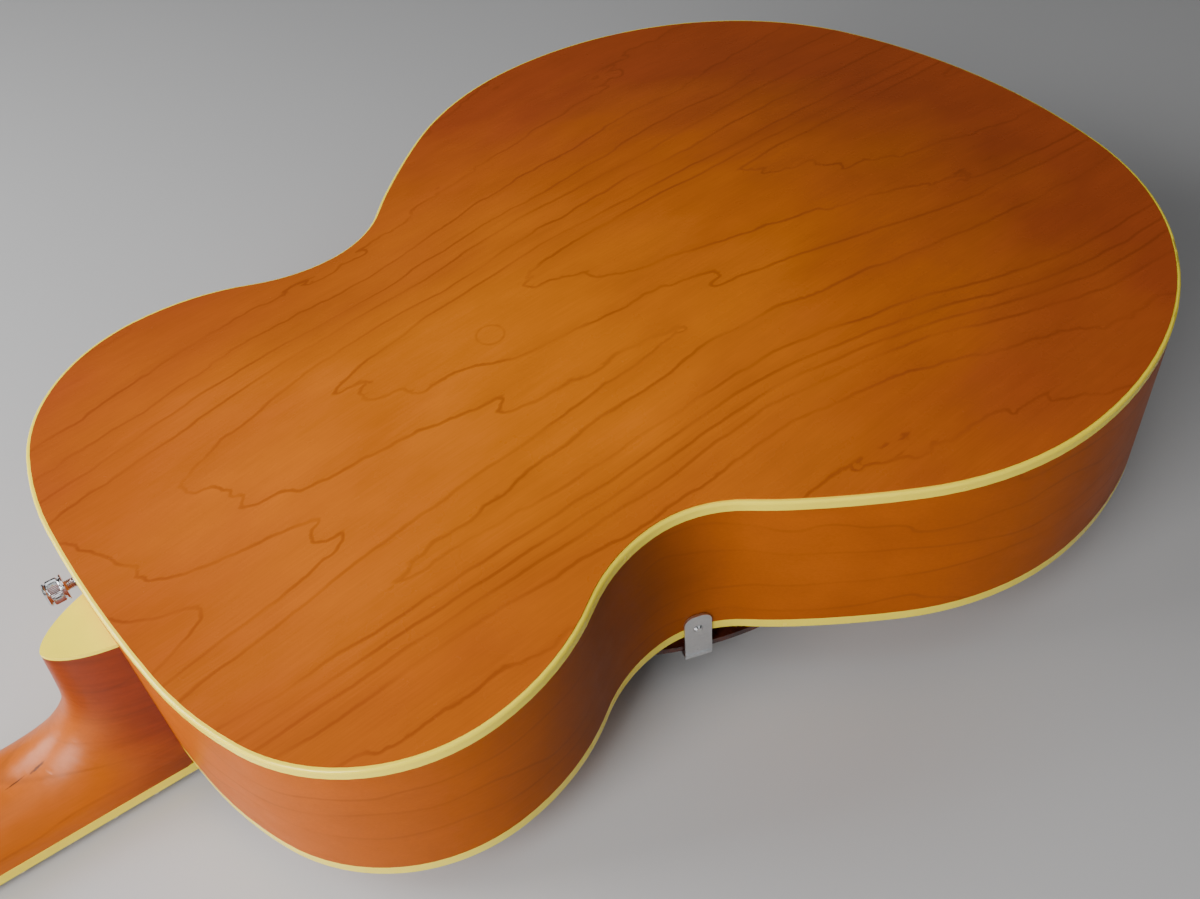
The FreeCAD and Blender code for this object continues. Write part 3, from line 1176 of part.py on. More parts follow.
def tailpiece_nodes():
    """The hinged tailpiece in the string frame: a crossbar on a bent rod, held by a hinge plate."""
    rim, turn_at = HINGE_LEVEL, KNUCKLE_AT.x
    width = Vector(0, HINGE_WIDTH, 0)
    strap = [Vector(x, -HINGE_WIDTH / 2, z) for x, z in (
        (turn_at, rim), (BODY_LENGTH, rim), (BODY_LENGTH, rim + HINGE_DROP),
        (BODY_LENGTH + HINGE_SHEET, rim + HINGE_DROP), (BODY_LENGTH + HINGE_SHEET, rim - HINGE_SHEET),
        (turn_at, rim - HINGE_SHEET))]
    strap = polygon_prism(strap, width)
    start = KNUCKLE_AT - width / 2
    hinge = strap.fuse(rod(start, start + width, KNUCKLE_RADIUS))
    hinge = hinge.cut(rod(start - width, start + width * 2, TRAPEZE_RADIUS + RUNNING_CLEARANCE))
    holes = [rod(point, point + way * -OVERSHOOT / 2, SCREW_RADIUS) for point, way in hinge_screws()]
    hinge = hinge.cut(Part.makeCompound(holes)).removeSplitter()

    knuckle = BODY_IN_STRING.multVec(KNUCKLE_AT)
    wide, narrow = BAR_WIDTH / 2 - BAR_SHOULDER, TRAPEZE_NARROW / 2
    bar_end = Vector(BAR_AT + BAR_LENGTH / 2, 0, BAR_LEVEL)
    points = [bar_end + Vector(0, wide, 0), knuckle + Vector(0, narrow, 0),
              knuckle - Vector(0, narrow, 0), bar_end - Vector(0, wide, 0)]
    trapeze = pipe(rounded_path(points, (TRAPEZE_BEND, TRAPEZE_BEND)), TRAPEZE_RADIUS)

    bar = box((BAR_AT, BAR_AT + BAR_LENGTH), (-BAR_WIDTH / 2, BAR_WIDTH / 2),
              (BAR_LEVEL - BAR_THICKNESS / 2, BAR_LEVEL + BAR_THICKNESS / 2))
    bar = bar.makeFillet(BAR_ROUND, [edge for edge in bar.Edges if edge.Length > BAR_WIDTH - 1])
    holes = []
    for (tail, saddle, _, _), diameter in zip(string_points(), STRING_DIAMETERS):
        holes.append(rod(tail + (tail - saddle) * 0.1, saddle, diameter / 2 + STRING_CLEARANCE))
    return {
        "tailpiece_hinge": placed(hinge, BODY_IN_STRING),
        "tailpiece_trapeze": trapeze,
        "tailpiece_bar": bar.cut(trapeze).cut(Part.makeCompound(holes)),
    }


def hinge_screws():
    """Places and outward directions of the hinge plate's screws, in the body frame."""
    face = BODY_LENGTH + HINGE_SHEET
    low = -RIM_DEPTH_TAIL + HINGE_DROP
    return [(Vector(face, y, low - drop), X_AXIS) for y, drop in HINGE_SCREWS]


GUARD_IN_STRING = Placement(Vector(0, -GUARD_EDGE_SIDE, GUARD_EDGE_LEVEL), Rotation(X_AXIS, -GUARD_TILT))


def pickguard():
    """A plate beside the strings, narrow at the fingerboard and wide at the bridge, in its own plane."""
    start = BODY_IN_STRING.multVec(Vector(GUARD_START, 0, -GLUE_DEPTH)).x
    waist = BODY_IN_STRING.multVec(Vector(BRACKET_AT, 0, -GLUE_DEPTH)).x
    end = -BASE_WIDTH / 2 - GUARD_BRIDGE_GAP
    side = half_width(BRACKET_AT) - GUARD_EDGE_SIDE
    nose, tip = Vector(start + GUARD_NOSE / 2, 0, 0), Vector(start, -GUARD_NOSE, 0)
    inner_end, outer_end = Vector(end, 0, 0), Vector(end - GUARD_BRIDGE_GAP, -side - GUARD_END_OUT, 0)
    swell = Vector(waist + GUARD_SWELL, -side - 1, 0)
    shoulder = Vector(waist - GUARD_SHOULDER_BACK, -side + GUARD_SHOULDER_IN, 0)
    edges = [
        Part.LineSegment(nose, inner_end).toShape(),
        Part.LineSegment(inner_end, outer_end).toShape(),
        Part.Arc(outer_end, swell, shoulder).toShape(),
        Part.LineSegment(shoulder, tip).toShape(),
        Part.LineSegment(tip, nose).toShape(),
    ]
    plate = Part.Face(Part.Wire(edges)).extrude(Vector(0, 0, GUARD_THICKNESS))
    corners = [edge for edge in plate.Edges
               if edge.Length < GUARD_THICKNESS + 0.01 and edge.CenterOfMass.x > waist]
    return plate.makeFillet(GUARD_CORNER, corners)


def bracket_frame():
    """On the treble rib at the front's rim: x along the rib, y outwards, z as the body's."""
    normal = outline_normal(BRACKET_AT)
    outward = Vector(normal.x, -normal.y, 0)
    base = Vector(BRACKET_AT, -half_width(BRACKET_AT), front_level(0)(BRACKET_AT)) + outward * BRACKET_SEAT
    return Placement(base, Rotation(Z_AXIS, math.degrees(math.atan2(-outward.x, outward.y))))


def bracket():
    """A bent strip on the rib: rounded at its pinned end, with a foot under the pickguard."""
    half, up, sheet = BRACKET_WIDTH / 2, BRACKET_UP, BRACKET_THICKNESS
    leg = box((-half, half), (0, sheet), (-OVERSHOOT, up))
    corners = [edge for edge in leg.Edges if edge.CenterOfMass.z > up - 0.01 and edge.Length < 2 * sheet]
    leg = leg.makeFillet(BRACKET_CORNER, corners)
    to_guard = GUARD_IN_STRING.inverse().multiply(BODY_IN_STRING).multiply(bracket_frame())
    bend = to_guard.multVec(Vector(0, sheet / 2, 0))
    way = to_guard.Rotation.multVec(Vector(0, -1, 0))
    low, high = -sheet - BRACKET_GAP, -BRACKET_GAP
    foot = box((0, BRACKET_FOOT), (-half, half), (low, high))
    inwards = Rotation(Z_AXIS, math.degrees(math.atan2(way.y, way.x)))
    foot = placed(foot, Placement(Vector(bend.x, bend.y, 0), inwards))
    below = box((-SCALE_LENGTH, SCALE_LENGTH), (-SIDE_REACH, SIDE_REACH), (-2 * SIDE_REACH, low))
    strip = placed(leg, to_guard).cut(below).fuse(foot).removeSplitter()
    return placed(strip, GUARD_IN_STRING)


def strap_places():
    """Seats and outward directions of the strap buttons: bass shoulder and tail, in the body frame."""
    x = station_at_side(STRAP_SIDE)
    return [(Vector(x, STRAP_SIDE, -STRAP_DEPTH), outline_normal(x)),
            (Vector(BODY_LENGTH, 0, -STRAP_DEPTH), X_AXIS)]


def strap_button(place, way):
    """A button on a thin stem, with a flange that holds the strap and a plain round head."""
    flange = STRAP_STEM_LENGTH + STRAP_FLANGE_THICKNESS
    return turned([
        (0, 0), (STRAP_STEM, 0), (STRAP_STEM, STRAP_STEM_LENGTH), (STRAP_FLANGE, STRAP_STEM_LENGTH),
        (STRAP_FLANGE, flange), (STRAP_HEAD, flange + STRAP_FLANGE - STRAP_HEAD),
        (STRAP_HEAD, STRAP_LENGTH - STRAP_CHAMFER), (STRAP_HEAD - STRAP_CHAMFER, STRAP_LENGTH),
        (0, STRAP_LENGTH)], place, way)


def wood_screw(place, way):
    """A round-headed screw seated at a place, with its head standing out along a direction."""
    return turned([
        (0, -SCREW_LENGTH), (SCREW_RADIUS, SCREW_POINT - SCREW_LENGTH), (SCREW_RADIUS, 0), (SCREW_HEAD, 0),
        (SCREW_HEAD * SCREW_CROWN, SCREW_HEAD_HEIGHT), (0, SCREW_HEAD_HEIGHT)], place, way)


def screw_places():
    """Frame, seat and outward direction of every wood screw."""
    places = []
    for x, y in tuner_places():
        for screw in tuner_screw_places():
            seat = Vector(x, y, HEAD_THICKNESS + TUNER_PLATE_THICKNESS) + screw
            places.append((HEAD_IN_STRING, seat, Z_AXIS))
    for x, y in COVER_SCREWS:
        seat = Vector(x, y, -HEAD_PLATE_THICKNESS - COVER_THICKNESS)
        places.append((HEAD_IN_STRING, seat, Z_AXIS * -1))
    places += [(BODY_IN_STRING, point, way) for point, way in hinge_screws()]
    pin = Vector(0, BRACKET_THICKNESS, BRACKET_UP - PIN_BELOW_TOP)
    places.append((BODY_IN_STRING.multiply(bracket_frame()), pin, Y_AXIS))
    return places


def main():
    strings, slots = strings_and_slots()
    nodes = {name: placed(shape, BODY_IN_STRING) for name, shape in body_nodes().items()}
    nodes.update({name: placed(shape, NECK_IN_STRING) for name, shape in neck_nodes(slots).items()})
    nodes.update({name: placed(shape, HEAD_IN_STRING) for name, shape in tuner_nodes().items()})
    nodes.update(bridge_nodes(slots))
    nodes.update(tailpiece_nodes())
    for number, string in enumerate(strings, 1):
        nodes[f"string_{number}"] = string
    nodes["pickguard"] = placed(pickguard(), GUARD_IN_STRING)
    nodes["pickguard_bracket"] = bracket()
    buttons = [strap_button(place, way) for place, way in strap_places()]
    nodes["strap_buttons"] = placed(Part.makeCompound(buttons), BODY_IN_STRING)

    shanks = Part.makeCompound([placed(wood_screw(seat, way), frame) for frame, seat, way in screw_places()])
    for name in ("neck", "head_plate", "truss_rod_cover", "tuner_plates", "tailpiece_hinge", "tail_block",
                 "rib_bass", "rib_treble", "top_binding", "top_linings", "pickguard_bracket"):
        nodes[name] = nodes[name].cut(shanks)
    nodes["wood_screws"] = shanks

    ends = [nodes[name] for name in ("neck", "strap_buttons", "nut", "bridge_saddle")]
    whole = Part.makeCompound(ends).optimalBoundingBox(False, False)
    to_row = Placement(Vector(-(whole.XMin + whole.XMax) / 2, 0, -whole.ZMin), Rotation())
    os.makedirs("parts", exist_ok=True)
    for name, shape in nodes.items():
        placed(shape, to_row).exportStep(f"parts/{name}.step")
    return nodes, to_row


if __name__ == "__main__":
    main()
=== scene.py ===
import json
import math

import bmesh
import bpy
from mathutils import Matrix, Vector
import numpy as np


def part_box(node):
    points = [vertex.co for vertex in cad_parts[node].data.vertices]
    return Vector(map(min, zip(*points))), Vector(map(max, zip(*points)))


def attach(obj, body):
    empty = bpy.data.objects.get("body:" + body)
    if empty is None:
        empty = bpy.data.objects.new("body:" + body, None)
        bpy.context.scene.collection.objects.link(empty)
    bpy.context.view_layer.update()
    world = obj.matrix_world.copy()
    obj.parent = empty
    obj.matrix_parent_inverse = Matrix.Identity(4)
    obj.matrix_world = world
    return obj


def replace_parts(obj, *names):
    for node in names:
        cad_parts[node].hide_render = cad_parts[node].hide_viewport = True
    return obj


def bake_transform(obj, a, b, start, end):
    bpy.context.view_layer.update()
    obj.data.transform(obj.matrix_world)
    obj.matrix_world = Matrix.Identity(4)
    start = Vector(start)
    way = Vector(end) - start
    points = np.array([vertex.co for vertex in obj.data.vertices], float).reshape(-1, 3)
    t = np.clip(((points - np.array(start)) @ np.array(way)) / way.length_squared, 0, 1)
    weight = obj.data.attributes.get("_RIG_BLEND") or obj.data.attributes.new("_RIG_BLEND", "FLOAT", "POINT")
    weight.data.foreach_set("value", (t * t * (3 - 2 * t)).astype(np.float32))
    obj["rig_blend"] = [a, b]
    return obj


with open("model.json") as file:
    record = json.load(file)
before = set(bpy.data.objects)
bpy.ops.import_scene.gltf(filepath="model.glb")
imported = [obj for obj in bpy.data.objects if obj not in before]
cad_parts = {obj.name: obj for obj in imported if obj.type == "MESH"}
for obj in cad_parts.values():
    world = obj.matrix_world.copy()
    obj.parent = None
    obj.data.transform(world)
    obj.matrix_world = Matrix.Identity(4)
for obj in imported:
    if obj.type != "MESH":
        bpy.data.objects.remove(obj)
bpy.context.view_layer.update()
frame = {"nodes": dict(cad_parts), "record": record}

# Metres, in the row frame: x from head to tail, y to the bass side, z up, out of the back.
MM = 0.001
WELD = 0.002 * MM
SHARP_ANGLE = math.radians(32)

# Camera
CAMERA_AT = Vector((-0.0602, -0.3621, 0.4616))
CAMERA_WAY = Vector((0.46855, 0.56429, -0.67974))
CAMERA_LENS = 37.18
CAMERA_NEAR = 0.01
SENSOR_WIDTH = 36.0

# Each node's material slot and body, and the back's box
RECORD = frame["record"]
SLOT_OF = {entry["node"]: entry["material_slot"] for entry in RECORD["subparts"]}
BODY_OF = {node: body for body, nodes in RECORD["behaviour"]["bodies"].items() for node in nodes}
BACK_LOW, BACK_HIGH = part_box("back_plate")
BODY_MIDDLE = (BACK_LOW + BACK_HIGH) / 2
BODY_SPAN = BACK_HIGH - BACK_LOW

# Sockets of a mix node for colours, by index, because their names repeat
MIX_SHARE, MIX_FIRST, MIX_SECOND, MIX_RESULT = 0, 6, 7, 2


class Sheet:
    """A node tree that is filled in a few words per node."""

    def __init__(self, tree):
        self.tree = tree

    def node(self, kind, inputs=None, **settings):
        made = self.tree.nodes.new(kind)
        for name, value in settings.items():
            setattr(made, name, value)
        for name, value in (inputs or {}).items():
            self.feed(made.inputs[name], value)
        return made

    def feed(self, socket, value):
        if isinstance(value, bpy.types.NodeSocket):
            self.tree.links.new(value, socket)
        else:
            socket.default_value = value

    def math(self, operation, *values):
        made = self.node("ShaderNodeMath", operation=operation)
        for socket, value in zip(made.inputs, values):
            self.feed(socket, value)
        return made.outputs[0]

    def vector(self, operation, *values):
        made = self.node("ShaderNodeVectorMath", operation=operation)
        for socket, value in zip(made.inputs, values):
            self.feed(socket, value)
        gives_value = operation in ("LENGTH", "DISTANCE", "DOT_PRODUCT")
        return made.outputs["Value" if gives_value else "Vector"]

    def split(self, vector):
        made = self.node("ShaderNodeSeparateXYZ", {"Vector": vector})
        return made.outputs["X"], made.outputs["Y"], made.outputs["Z"]

    def mix(self, share, first, second, blend="MIX"):
        made = self.node("ShaderNodeMix", data_type="RGBA", blend_type=blend)
        for index, value in ((MIX_SHARE, share), (MIX_FIRST, first), (MIX_SECOND, second)):
            self.feed(made.inputs[index], value)
        return made.outputs[MIX_RESULT]

    def toned(self, colour, tone):
        """A colour made lighter or darker by a value."""
        grey = self.node("ShaderNodeCombineColor", {"Red": tone, "Green": tone, "Blue": tone})
        return self.mix(1.0, colour, grey.outputs["Color"], "MULTIPLY")

    def noise(self, vector, scale, detail=2.0, roughness=0.5):
        inputs = {"Vector": vector, "Scale": scale, "Detail": detail, "Roughness": roughness}
        return self.node("ShaderNodeTexNoise", inputs).outputs["Fac"]

    def ramp(self, value, *stops):
        """A smooth curve through stops of a position and a level, both from 0 to 1."""
        made = self.node("ShaderNodeValToRGB", {"Fac": value})
        made.color_ramp.interpolation = "B_SPLINE"
        elements = made.color_ramp.elements
        while len(elements) < len(stops):
            elements.new(1.0)
        for element, (position, level) in zip(elements, stops):
            element.position = position
            element.color = (level, level, level, 1.0)
        return made.outputs["Color"]

    def remap(self, value, low, high, to_low=0.0, to_high=1.0, smooth=False):
        inputs = {"Value": value, "From Min": low, "From Max": high, "To Min": to_low, "To Max": to_high}
        shape = "SMOOTHSTEP" if smooth else "LINEAR"
        made = self.node("ShaderNodeMapRange", inputs, clamp=True, interpolation_type=shape)
        return made.outputs["Result"]

    def scaled(self, vector, scale, turn=(0, 0, 0)):
        inputs = {"Vector": vector, "Rotation": turn, "Scale": scale}
        return self.node("ShaderNodeMapping", inputs).outputs["Vector"]

    def group(self, tree, **inputs):
        return self.node("ShaderNodeGroup", inputs, node_tree=tree).outputs


def effect(name, inputs, outputs, fill):
    """A shader node group; fill gets its sheet and input sockets and returns its output values."""
    tree = bpy.data.node_groups.new(name, "ShaderNodeTree")
    for label, kind in inputs:
        tree.interface.new_socket(label, in_out="INPUT", socket_type=kind)
    for label, kind in outputs:
        tree.interface.new_socket(label, in_out="OUTPUT", socket_type=kind)
    sheet = Sheet(tree)
    start = sheet.node("NodeGroupInput")
    end = sheet.node("NodeGroupOutput")
    for socket, value in zip(end.inputs, fill(sheet, start.outputs)):
        sheet.feed(socket, value)
    return tree


VALUE, VECTOR = "NodeSocketFloat", "NodeSocketVector"

# Growth levels over the back's width, in millimetres from the figure's axis to the bass side
PLANK_PROFILE = (
    (-213, -4.2), (-160, -3.2), (-135, -2.5), (-122, -1.85), (-114, -0.85), (-108, 0.15), (-101, 1.15),
    (-94, 1.9), (-86, 2.3), (-75, 1.85), (-66, 1.0), (-60, 0.2), (-53, -0.9), (-44, -1.6), (-36, -1.2),
    (-24, -0.5), (-12, -0.1), (12, 0.1), (21, 0.35), (30, 0.9), (36, 1.0), (44, 0.6), (50, 0.2),
    (58, -0.5), (64, -1.0), (74, -1.7), (85, -2.2), (99, -2.9), (120, -3.4), (150, -3.9), (193, -4.6))
PROFILE_LOW, PROFILE_SPAN = -5.0, 8.0
PLANK_HALF = 215.0

# Changes of the figure: from and to, in millimetres, and the values there
PLANK_LEAN = (230, 430, -10.0, 4)
PLANK_SPREAD = (250, 480, 1.0, 1.3)
PLANK_BASS_FALL = (12, 40, 1.0, 0.3)
PLANK_TREBLE_FALL = (-66, -45, 0.3, 1.0)
PLANK_RISE = 3.9

# Wandering of growth lines: how often they turn per millimetre, and how far they go, in levels
PLANK_WANDERS = (((1 / 75, 1 / 30, 0), 0.6), ((1 / 22, 1 / 10, 0), 0.3), ((1 / 6, 1 / 4, 0), 0.08))
STRAIGHT_WANDERS = (((1 / 160, 1 / 40, 1 / 160), 2.0), ((1 / 40, 1 / 14, 1 / 40), 0.5))


def fill_plank(sheet, given):
    """Growth level at a point of the back's flat-sawn plank, in millimetres from its neck end."""
    along, across, _ = sheet.split(given["Point"])
    lean = sheet.remap(along, *PLANK_LEAN, smooth=True)
    spread = sheet.remap(along, *PLANK_SPREAD, smooth=True)
    side = sheet.math("DIVIDE", sheet.math("ADD", across, lean), spread)
    stops = [((y + PLANK_HALF) / (2 * PLANK_HALF), (level - PROFILE_LOW) / PROFILE_SPAN)
             for y, level in PLANK_PROFILE]
    profile = sheet.ramp(sheet.remap(side, -PLANK_HALF, PLANK_HALF), *stops)
    profile = sheet.math("MULTIPLY_ADD", profile, PROFILE_SPAN, PROFILE_LOW)
    bass_fall = sheet.remap(side, *PLANK_BASS_FALL, smooth=True)
    treble_fall = sheet.remap(side, *PLANK_TREBLE_FALL, smooth=True)
    rise = sheet.math("DIVIDE", sheet.math("SQRT", sheet.math("MAXIMUM", along, 0.0)), PLANK_RISE)
    rise = sheet.math("MULTIPLY", rise, sheet.math("MINIMUM", bass_fall, treble_fall))
    level = sheet.math("ADD", profile, rise)
    for size, share in PLANK_WANDERS:
        wander = sheet.noise(sheet.scaled(given["Point"], size), 1.0, detail=1.0)
        level = sheet.math("MULTIPLY_ADD", sheet.math("SUBTRACT", wander, 0.5), share, level)
    return (level,)


def fill_straight(sheet, given):
    """Growth level of straighter wood, with x along its grain and y across it, in millimetres."""
    point = given["Point"]
    _, across, _ = sheet.split(point)
    level = sheet.math("DIVIDE", across, given["Spacing"])
    for size, share in STRAIGHT_WANDERS:
        wander = sheet.math("SUBTRACT", sheet.noise(sheet.scaled(point, size), 1.0, detail=1.0), 0.5)
        level = sheet.math("MULTIPLY_ADD", sheet.math("MULTIPLY", wander, share), given["Wander"], level)
    return (level,)


# A growth line's darkest part and its shade, in widths of the line, and the least slope of a level
LINE_CORE = 0.2
SHADE_WIDTHS = 9.0
LEAST_SLOPE = 0.003


def fill_growth_lines(sheet, given):
    """Thin lines where a growth level passes whole numbers, with a shade that fades on one side of each."""
    here = given["Here"]
    ways = [sheet.math("SUBTRACT", given[name], here) for name in ("Along", "Across")]
    squares = [sheet.math("MULTIPLY", way, way) for way in ways]
    slope = sheet.math("ADD", sheet.math("SQRT", sheet.math("ADD", *squares)), LEAST_SLOPE)
    phase = sheet.math("SUBTRACT", sheet.math("FRACT", sheet.math("ADD", here, 0.5)), 0.5)
    gap = sheet.math("DIVIDE", phase, slope)
    width = given["Width"]
    core = sheet.math("MULTIPLY", width, LINE_CORE)
    line = sheet.remap(sheet.math("ABSOLUTE", gap), core, width, 1.0, 0.0, smooth=True)
    fade = sheet.remap(gap, 0.0, sheet.math("MULTIPLY", width, SHADE_WIDTHS), 1.0, 0.0, smooth=True)
    return line, sheet.math("MULTIPLY", fade, sheet.math("GREATER_THAN", gap, 0.0))


PLANK = effect("plank_growth", (("Point", VECTOR),), (("Level", VALUE),), fill_plank)
STRAIGHT = effect("straight_growth", (("Point", VECTOR), ("Spacing", VALUE), ("Wander", VALUE)),
                  (("Level", VALUE),), fill_straight)
GROWTH_LINES = effect(
    "growth_lines", (("Here", VALUE), ("Along", VALUE), ("Across", VALUE), ("Width", VALUE)),
    (("Line", VALUE), ("Shade", VALUE)), fill_growth_lines)


def growth_lines(sheet, growth, point, width, **inputs):
    """The lines and shades of a growth field, read at a point and a millimetre on, along and across."""
    levels = [sheet.group(growth, Point=sheet.vector("ADD", point, step), **inputs)["Level"]
              for step in ((0, 0, 0), (1, 0, 0), (0, 1, 0))]
    return sheet.group(GROWTH_LINES, Here=levels[0], Along=levels[1], Across=levels[2], Width=width)


# Grain of the wood's unevenness, per millimetre along and across it
FIBRE_GRAIN = (1 / 30, 1 / 0.9, 1 / 0.9)
CLOUD_GRAIN = (1 / 55, 1 / 22, 1 / 22)
DENSE_GRAIN = (1 / 60, 1 / 18, 1 / 40)
TONE_GRAIN = (1 / 90, 1 / 45, 1 / 45)

# Ranges that hold most of a noise, and the narrower middle of it
NOISE_SPREAD = (0.3, 0.7)
NOISE_MIDDLE = (0.35, 0.65)


def fill_fibre(sheet, given):
    """Fine fibres along x and soft clouds, both around 0.5."""
    fibre = sheet.noise(sheet.scaled(given["Point"], FIBRE_GRAIN), 1.0, detail=3.0, roughness=0.6)
    cloud = sheet.noise(sheet.scaled(given["Point"], CLOUD_GRAIN), 1.0, detail=4.0, roughness=0.6)
    return fibre, cloud


FIBRE = effect("wood_fibre", (("Point", VECTOR),), (("Fibre", VALUE), ("Cloud", VALUE)), fill_fibre)

# Scuffs inside the smudges of handling
SCUFF_SHIFT = (3.0, 1.0, 2.0)
SCUFF_FINENESS = 9.0
SCUFF_SHARE = 0.35


def fill_handling(sheet, given):
    """Uneven polish from handling: soft smudges with finer scuffs inside them."""
    place, scale = given["Place"], given["Scale"]
    smudge = sheet.noise(place, scale, detail=3.0, roughness=0.55)
    fine = sheet.math("MULTIPLY", scale, SCUFF_FINENESS)
    scuff = sheet.noise(sheet.vector("ADD", place, SCUFF_SHIFT), fine, detail=4.0)
    wear = sheet.math("MULTIPLY_ADD", scuff, SCUFF_SHARE, sheet.math("MULTIPLY", smudge, 1 - SCUFF_SHARE))
    return (sheet.remap(wear, *NOISE_SPREAD),)


HANDLING = effect("handling", (("Place", VECTOR), ("Scale", VALUE)), (("Wear", VALUE),), fill_handling)


def new_material(name):
    """A material with an empty Principled surface, its sheet and its Object coordinates."""
    material = bpy.data.materials.new(name)
    material.use_nodes = True
    material.node_tree.nodes.clear()
    sheet = Sheet(material.node_tree)
    surface = sheet.node("ShaderNodeBsdfPrincipled")
    sheet.node("ShaderNodeOutputMaterial", {"Surface": surface.outputs["BSDF"]})
    place = sheet.node("ShaderNodeTexCoord").outputs["Object"]
    return material, sheet, surface, place


def handled(sheet, surface, place, low, high, scale):
    """Sets a roughness that wanders between two values."""
    wear = sheet.group(HANDLING, Place=place, Scale=scale)["Wear"]
    sheet.feed(surface.inputs["Roughness"], sheet.remap(wear, 0.0, 1.0, low, high))
    return wear


def bumped(sheet, surface, height, strength, depth):
    """Sets a fine relief."""
    bump = sheet.node("ShaderNodeBump", {"Height": height, "Strength": strength, "Distance": depth})
    sheet.feed(surface.inputs["Normal"], bump.outputs["Normal"])


# Stain of the body: where it is lightest, how far out it deepens, and how cloudy that is
TONE_MIDDLE = BODY_MIDDLE + Vector((-70, -30, 0)) * MM
TONE_REACH = (0.55, 1.5)
TONE_CLOUD = 0.7


def body_tone(sheet, place, point, light, dark, edge_share):
    """A wood's colour, which deepens away from a middle nearer to the neck."""
    off = sheet.vector("SUBTRACT", place, TONE_MIDDLE)
    spread = sheet.scaled(off, (2 / BODY_SPAN.x, 2 / BODY_SPAN.y, 0.0))
    cloud = sheet.noise(sheet.scaled(point, TONE_GRAIN), 1.0, detail=3.0)
    away = sheet.math("MULTIPLY_ADD", cloud, TONE_CLOUD, sheet.vector("LENGTH", spread))
    return sheet.mix(sheet.remap(away, *TONE_REACH, 0.0, edge_share), (*light, 1.0), (*dark, 1.0))


# A fleck's ragged edge
FLECK_FINENESS = 0.9
FLECK_RAGGED = 0.6
FLECK_EDGE = (0.6, 1.2)


def fleck(sheet, flat, at, size, turn=0.0):
    """A short dark mark in wood, from 1 at its middle to 0; size is its half length and half width."""
    off = sheet.vector("SUBTRACT", flat, (*at, 0.0))
    way = sheet.scaled(off, (1 / size[0], 1 / size[1], 0), turn=(0, 0, turn))
    ragged = sheet.noise(flat, FLECK_FINENESS)
    reach = sheet.math("MULTIPLY_ADD", ragged, FLECK_RAGGED, sheet.vector("LENGTH", way))
    return sheet.remap(reach, *FLECK_EDGE, 1.0, 0.0, smooth=True)


# Tones of the figure, how strongly lines and shades show, and the lacquer over them
CLOUD_TONES = (0.92, 1.07)
FIBRE_TONES = (0.95, 1.05)
DENSE_LINES = (0.35, 0.6, 0.3, 1.0)
SHADE_SHARE = 0.12
LACQUER_LOW, LACQUER_HIGH = -0.05, 0.07
LACQUER_SMUDGES = 14.0
LACQUER_COAT = 0.22
FIBRE_BUMP, FIBRE_DEPTH = 0.03, 0.2 * MM


def finish_wood(sheet, surface, place, point, colour, line_colour, share, lines, rough, coat, shine):
    """Lays growth lines, fibres and lacquer over a wood's colour."""
    figure = sheet.group(FIBRE, Point=point)
    colour = sheet.toned(colour, sheet.remap(figure["Cloud"], *NOISE_SPREAD, *CLOUD_TONES))
    colour = sheet.toned(colour, sheet.remap(figure["Fibre"], *NOISE_SPREAD, *FIBRE_TONES))
    dense = sheet.remap(sheet.noise(sheet.scaled(point, DENSE_GRAIN), 1.0), *DENSE_LINES)
    shade = sheet.math("MULTIPLY", lines["Shade"], SHADE_SHARE * share)
    colour = sheet.mix(shade, colour, (*line_colour, 1.0))
    line = sheet.math("MULTIPLY", sheet.math("MULTIPLY", lines["Line"], dense), share)
    sheet.feed(surface.inputs["Base Color"], sheet.mix(line, colour, (*line_colour, 1.0)))
    handled(sheet, surface, place, rough + LACQUER_LOW, rough + LACQUER_HIGH, LACQUER_SMUDGES)
    surface.inputs["Specular IOR Level"].default_value = shine
    surface.inputs["Coat Weight"].default_value = coat
    surface.inputs["Coat Roughness"].default_value = LACQUER_COAT
    bumped(sheet, surface, figure["Fibre"], FIBRE_BUMP, FIBRE_DEPTH)


# The back's figure: its start, then its lines' width, a pin knot and a fleck in millimetres from there
PLANK_START = Vector((BACK_LOW.x - 1.9 * MM, 0.0, 0.0))
PLANK_LINE = 1.15
KNOT_AT = (194.0, 3.0, 0.0)
KNOT_RADIUS = 6.3
KNOT_FINENESS = 0.3
KNOT_EDGE = (0.3, 1.5, 0.8, 0.0)
PLANK_FLECK = {"at": (277.0, -160.0), "size": (6.0, 0.9), "turn": 0.9}


def plank_wood(name, light, dark, line, share, rough, coat, shine):
    """The back's plank with its own figure, a small pin knot and a fleck."""
    material, sheet, surface, place = new_material(name)
    point = sheet.scaled(sheet.vector("SUBTRACT", place, PLANK_START), (1 / MM, 1 / MM, 0.0))
    lines = growth_lines(sheet, PLANK, point, PLANK_LINE)
    off = sheet.math("SUBTRACT", sheet.vector("DISTANCE", point, KNOT_AT), KNOT_RADIUS)
    ring = sheet.math("ADD", sheet.math("ABSOLUTE", off), sheet.noise(point, KNOT_FINENESS, detail=1.0))
    ring = sheet.remap(ring, *KNOT_EDGE, smooth=True)
    marks = sheet.math("MAXIMUM", ring, fleck(sheet, point, **PLANK_FLECK))
    lines = {"Line": sheet.math("MAXIMUM", lines["Line"], marks), "Shade": lines["Shade"]}
    colour = body_tone(sheet, place, point, light, dark, 1.0)
    finish_wood(sheet, surface, place, point, colour, line, share, lines, rough, coat, shine)
    return material


# The turn that lays grain upright, the x of the ribs' waist, and the darkening there, a stain together with
# painted shade in the waist's hollow
ON_EDGE = (math.radians(90), 0.0, 0.0)
RIB_HOLLOW = 0.148
WAIST_STAIN_AND_SHADE = (10 * MM, 75 * MM, 0.6, 1.0)


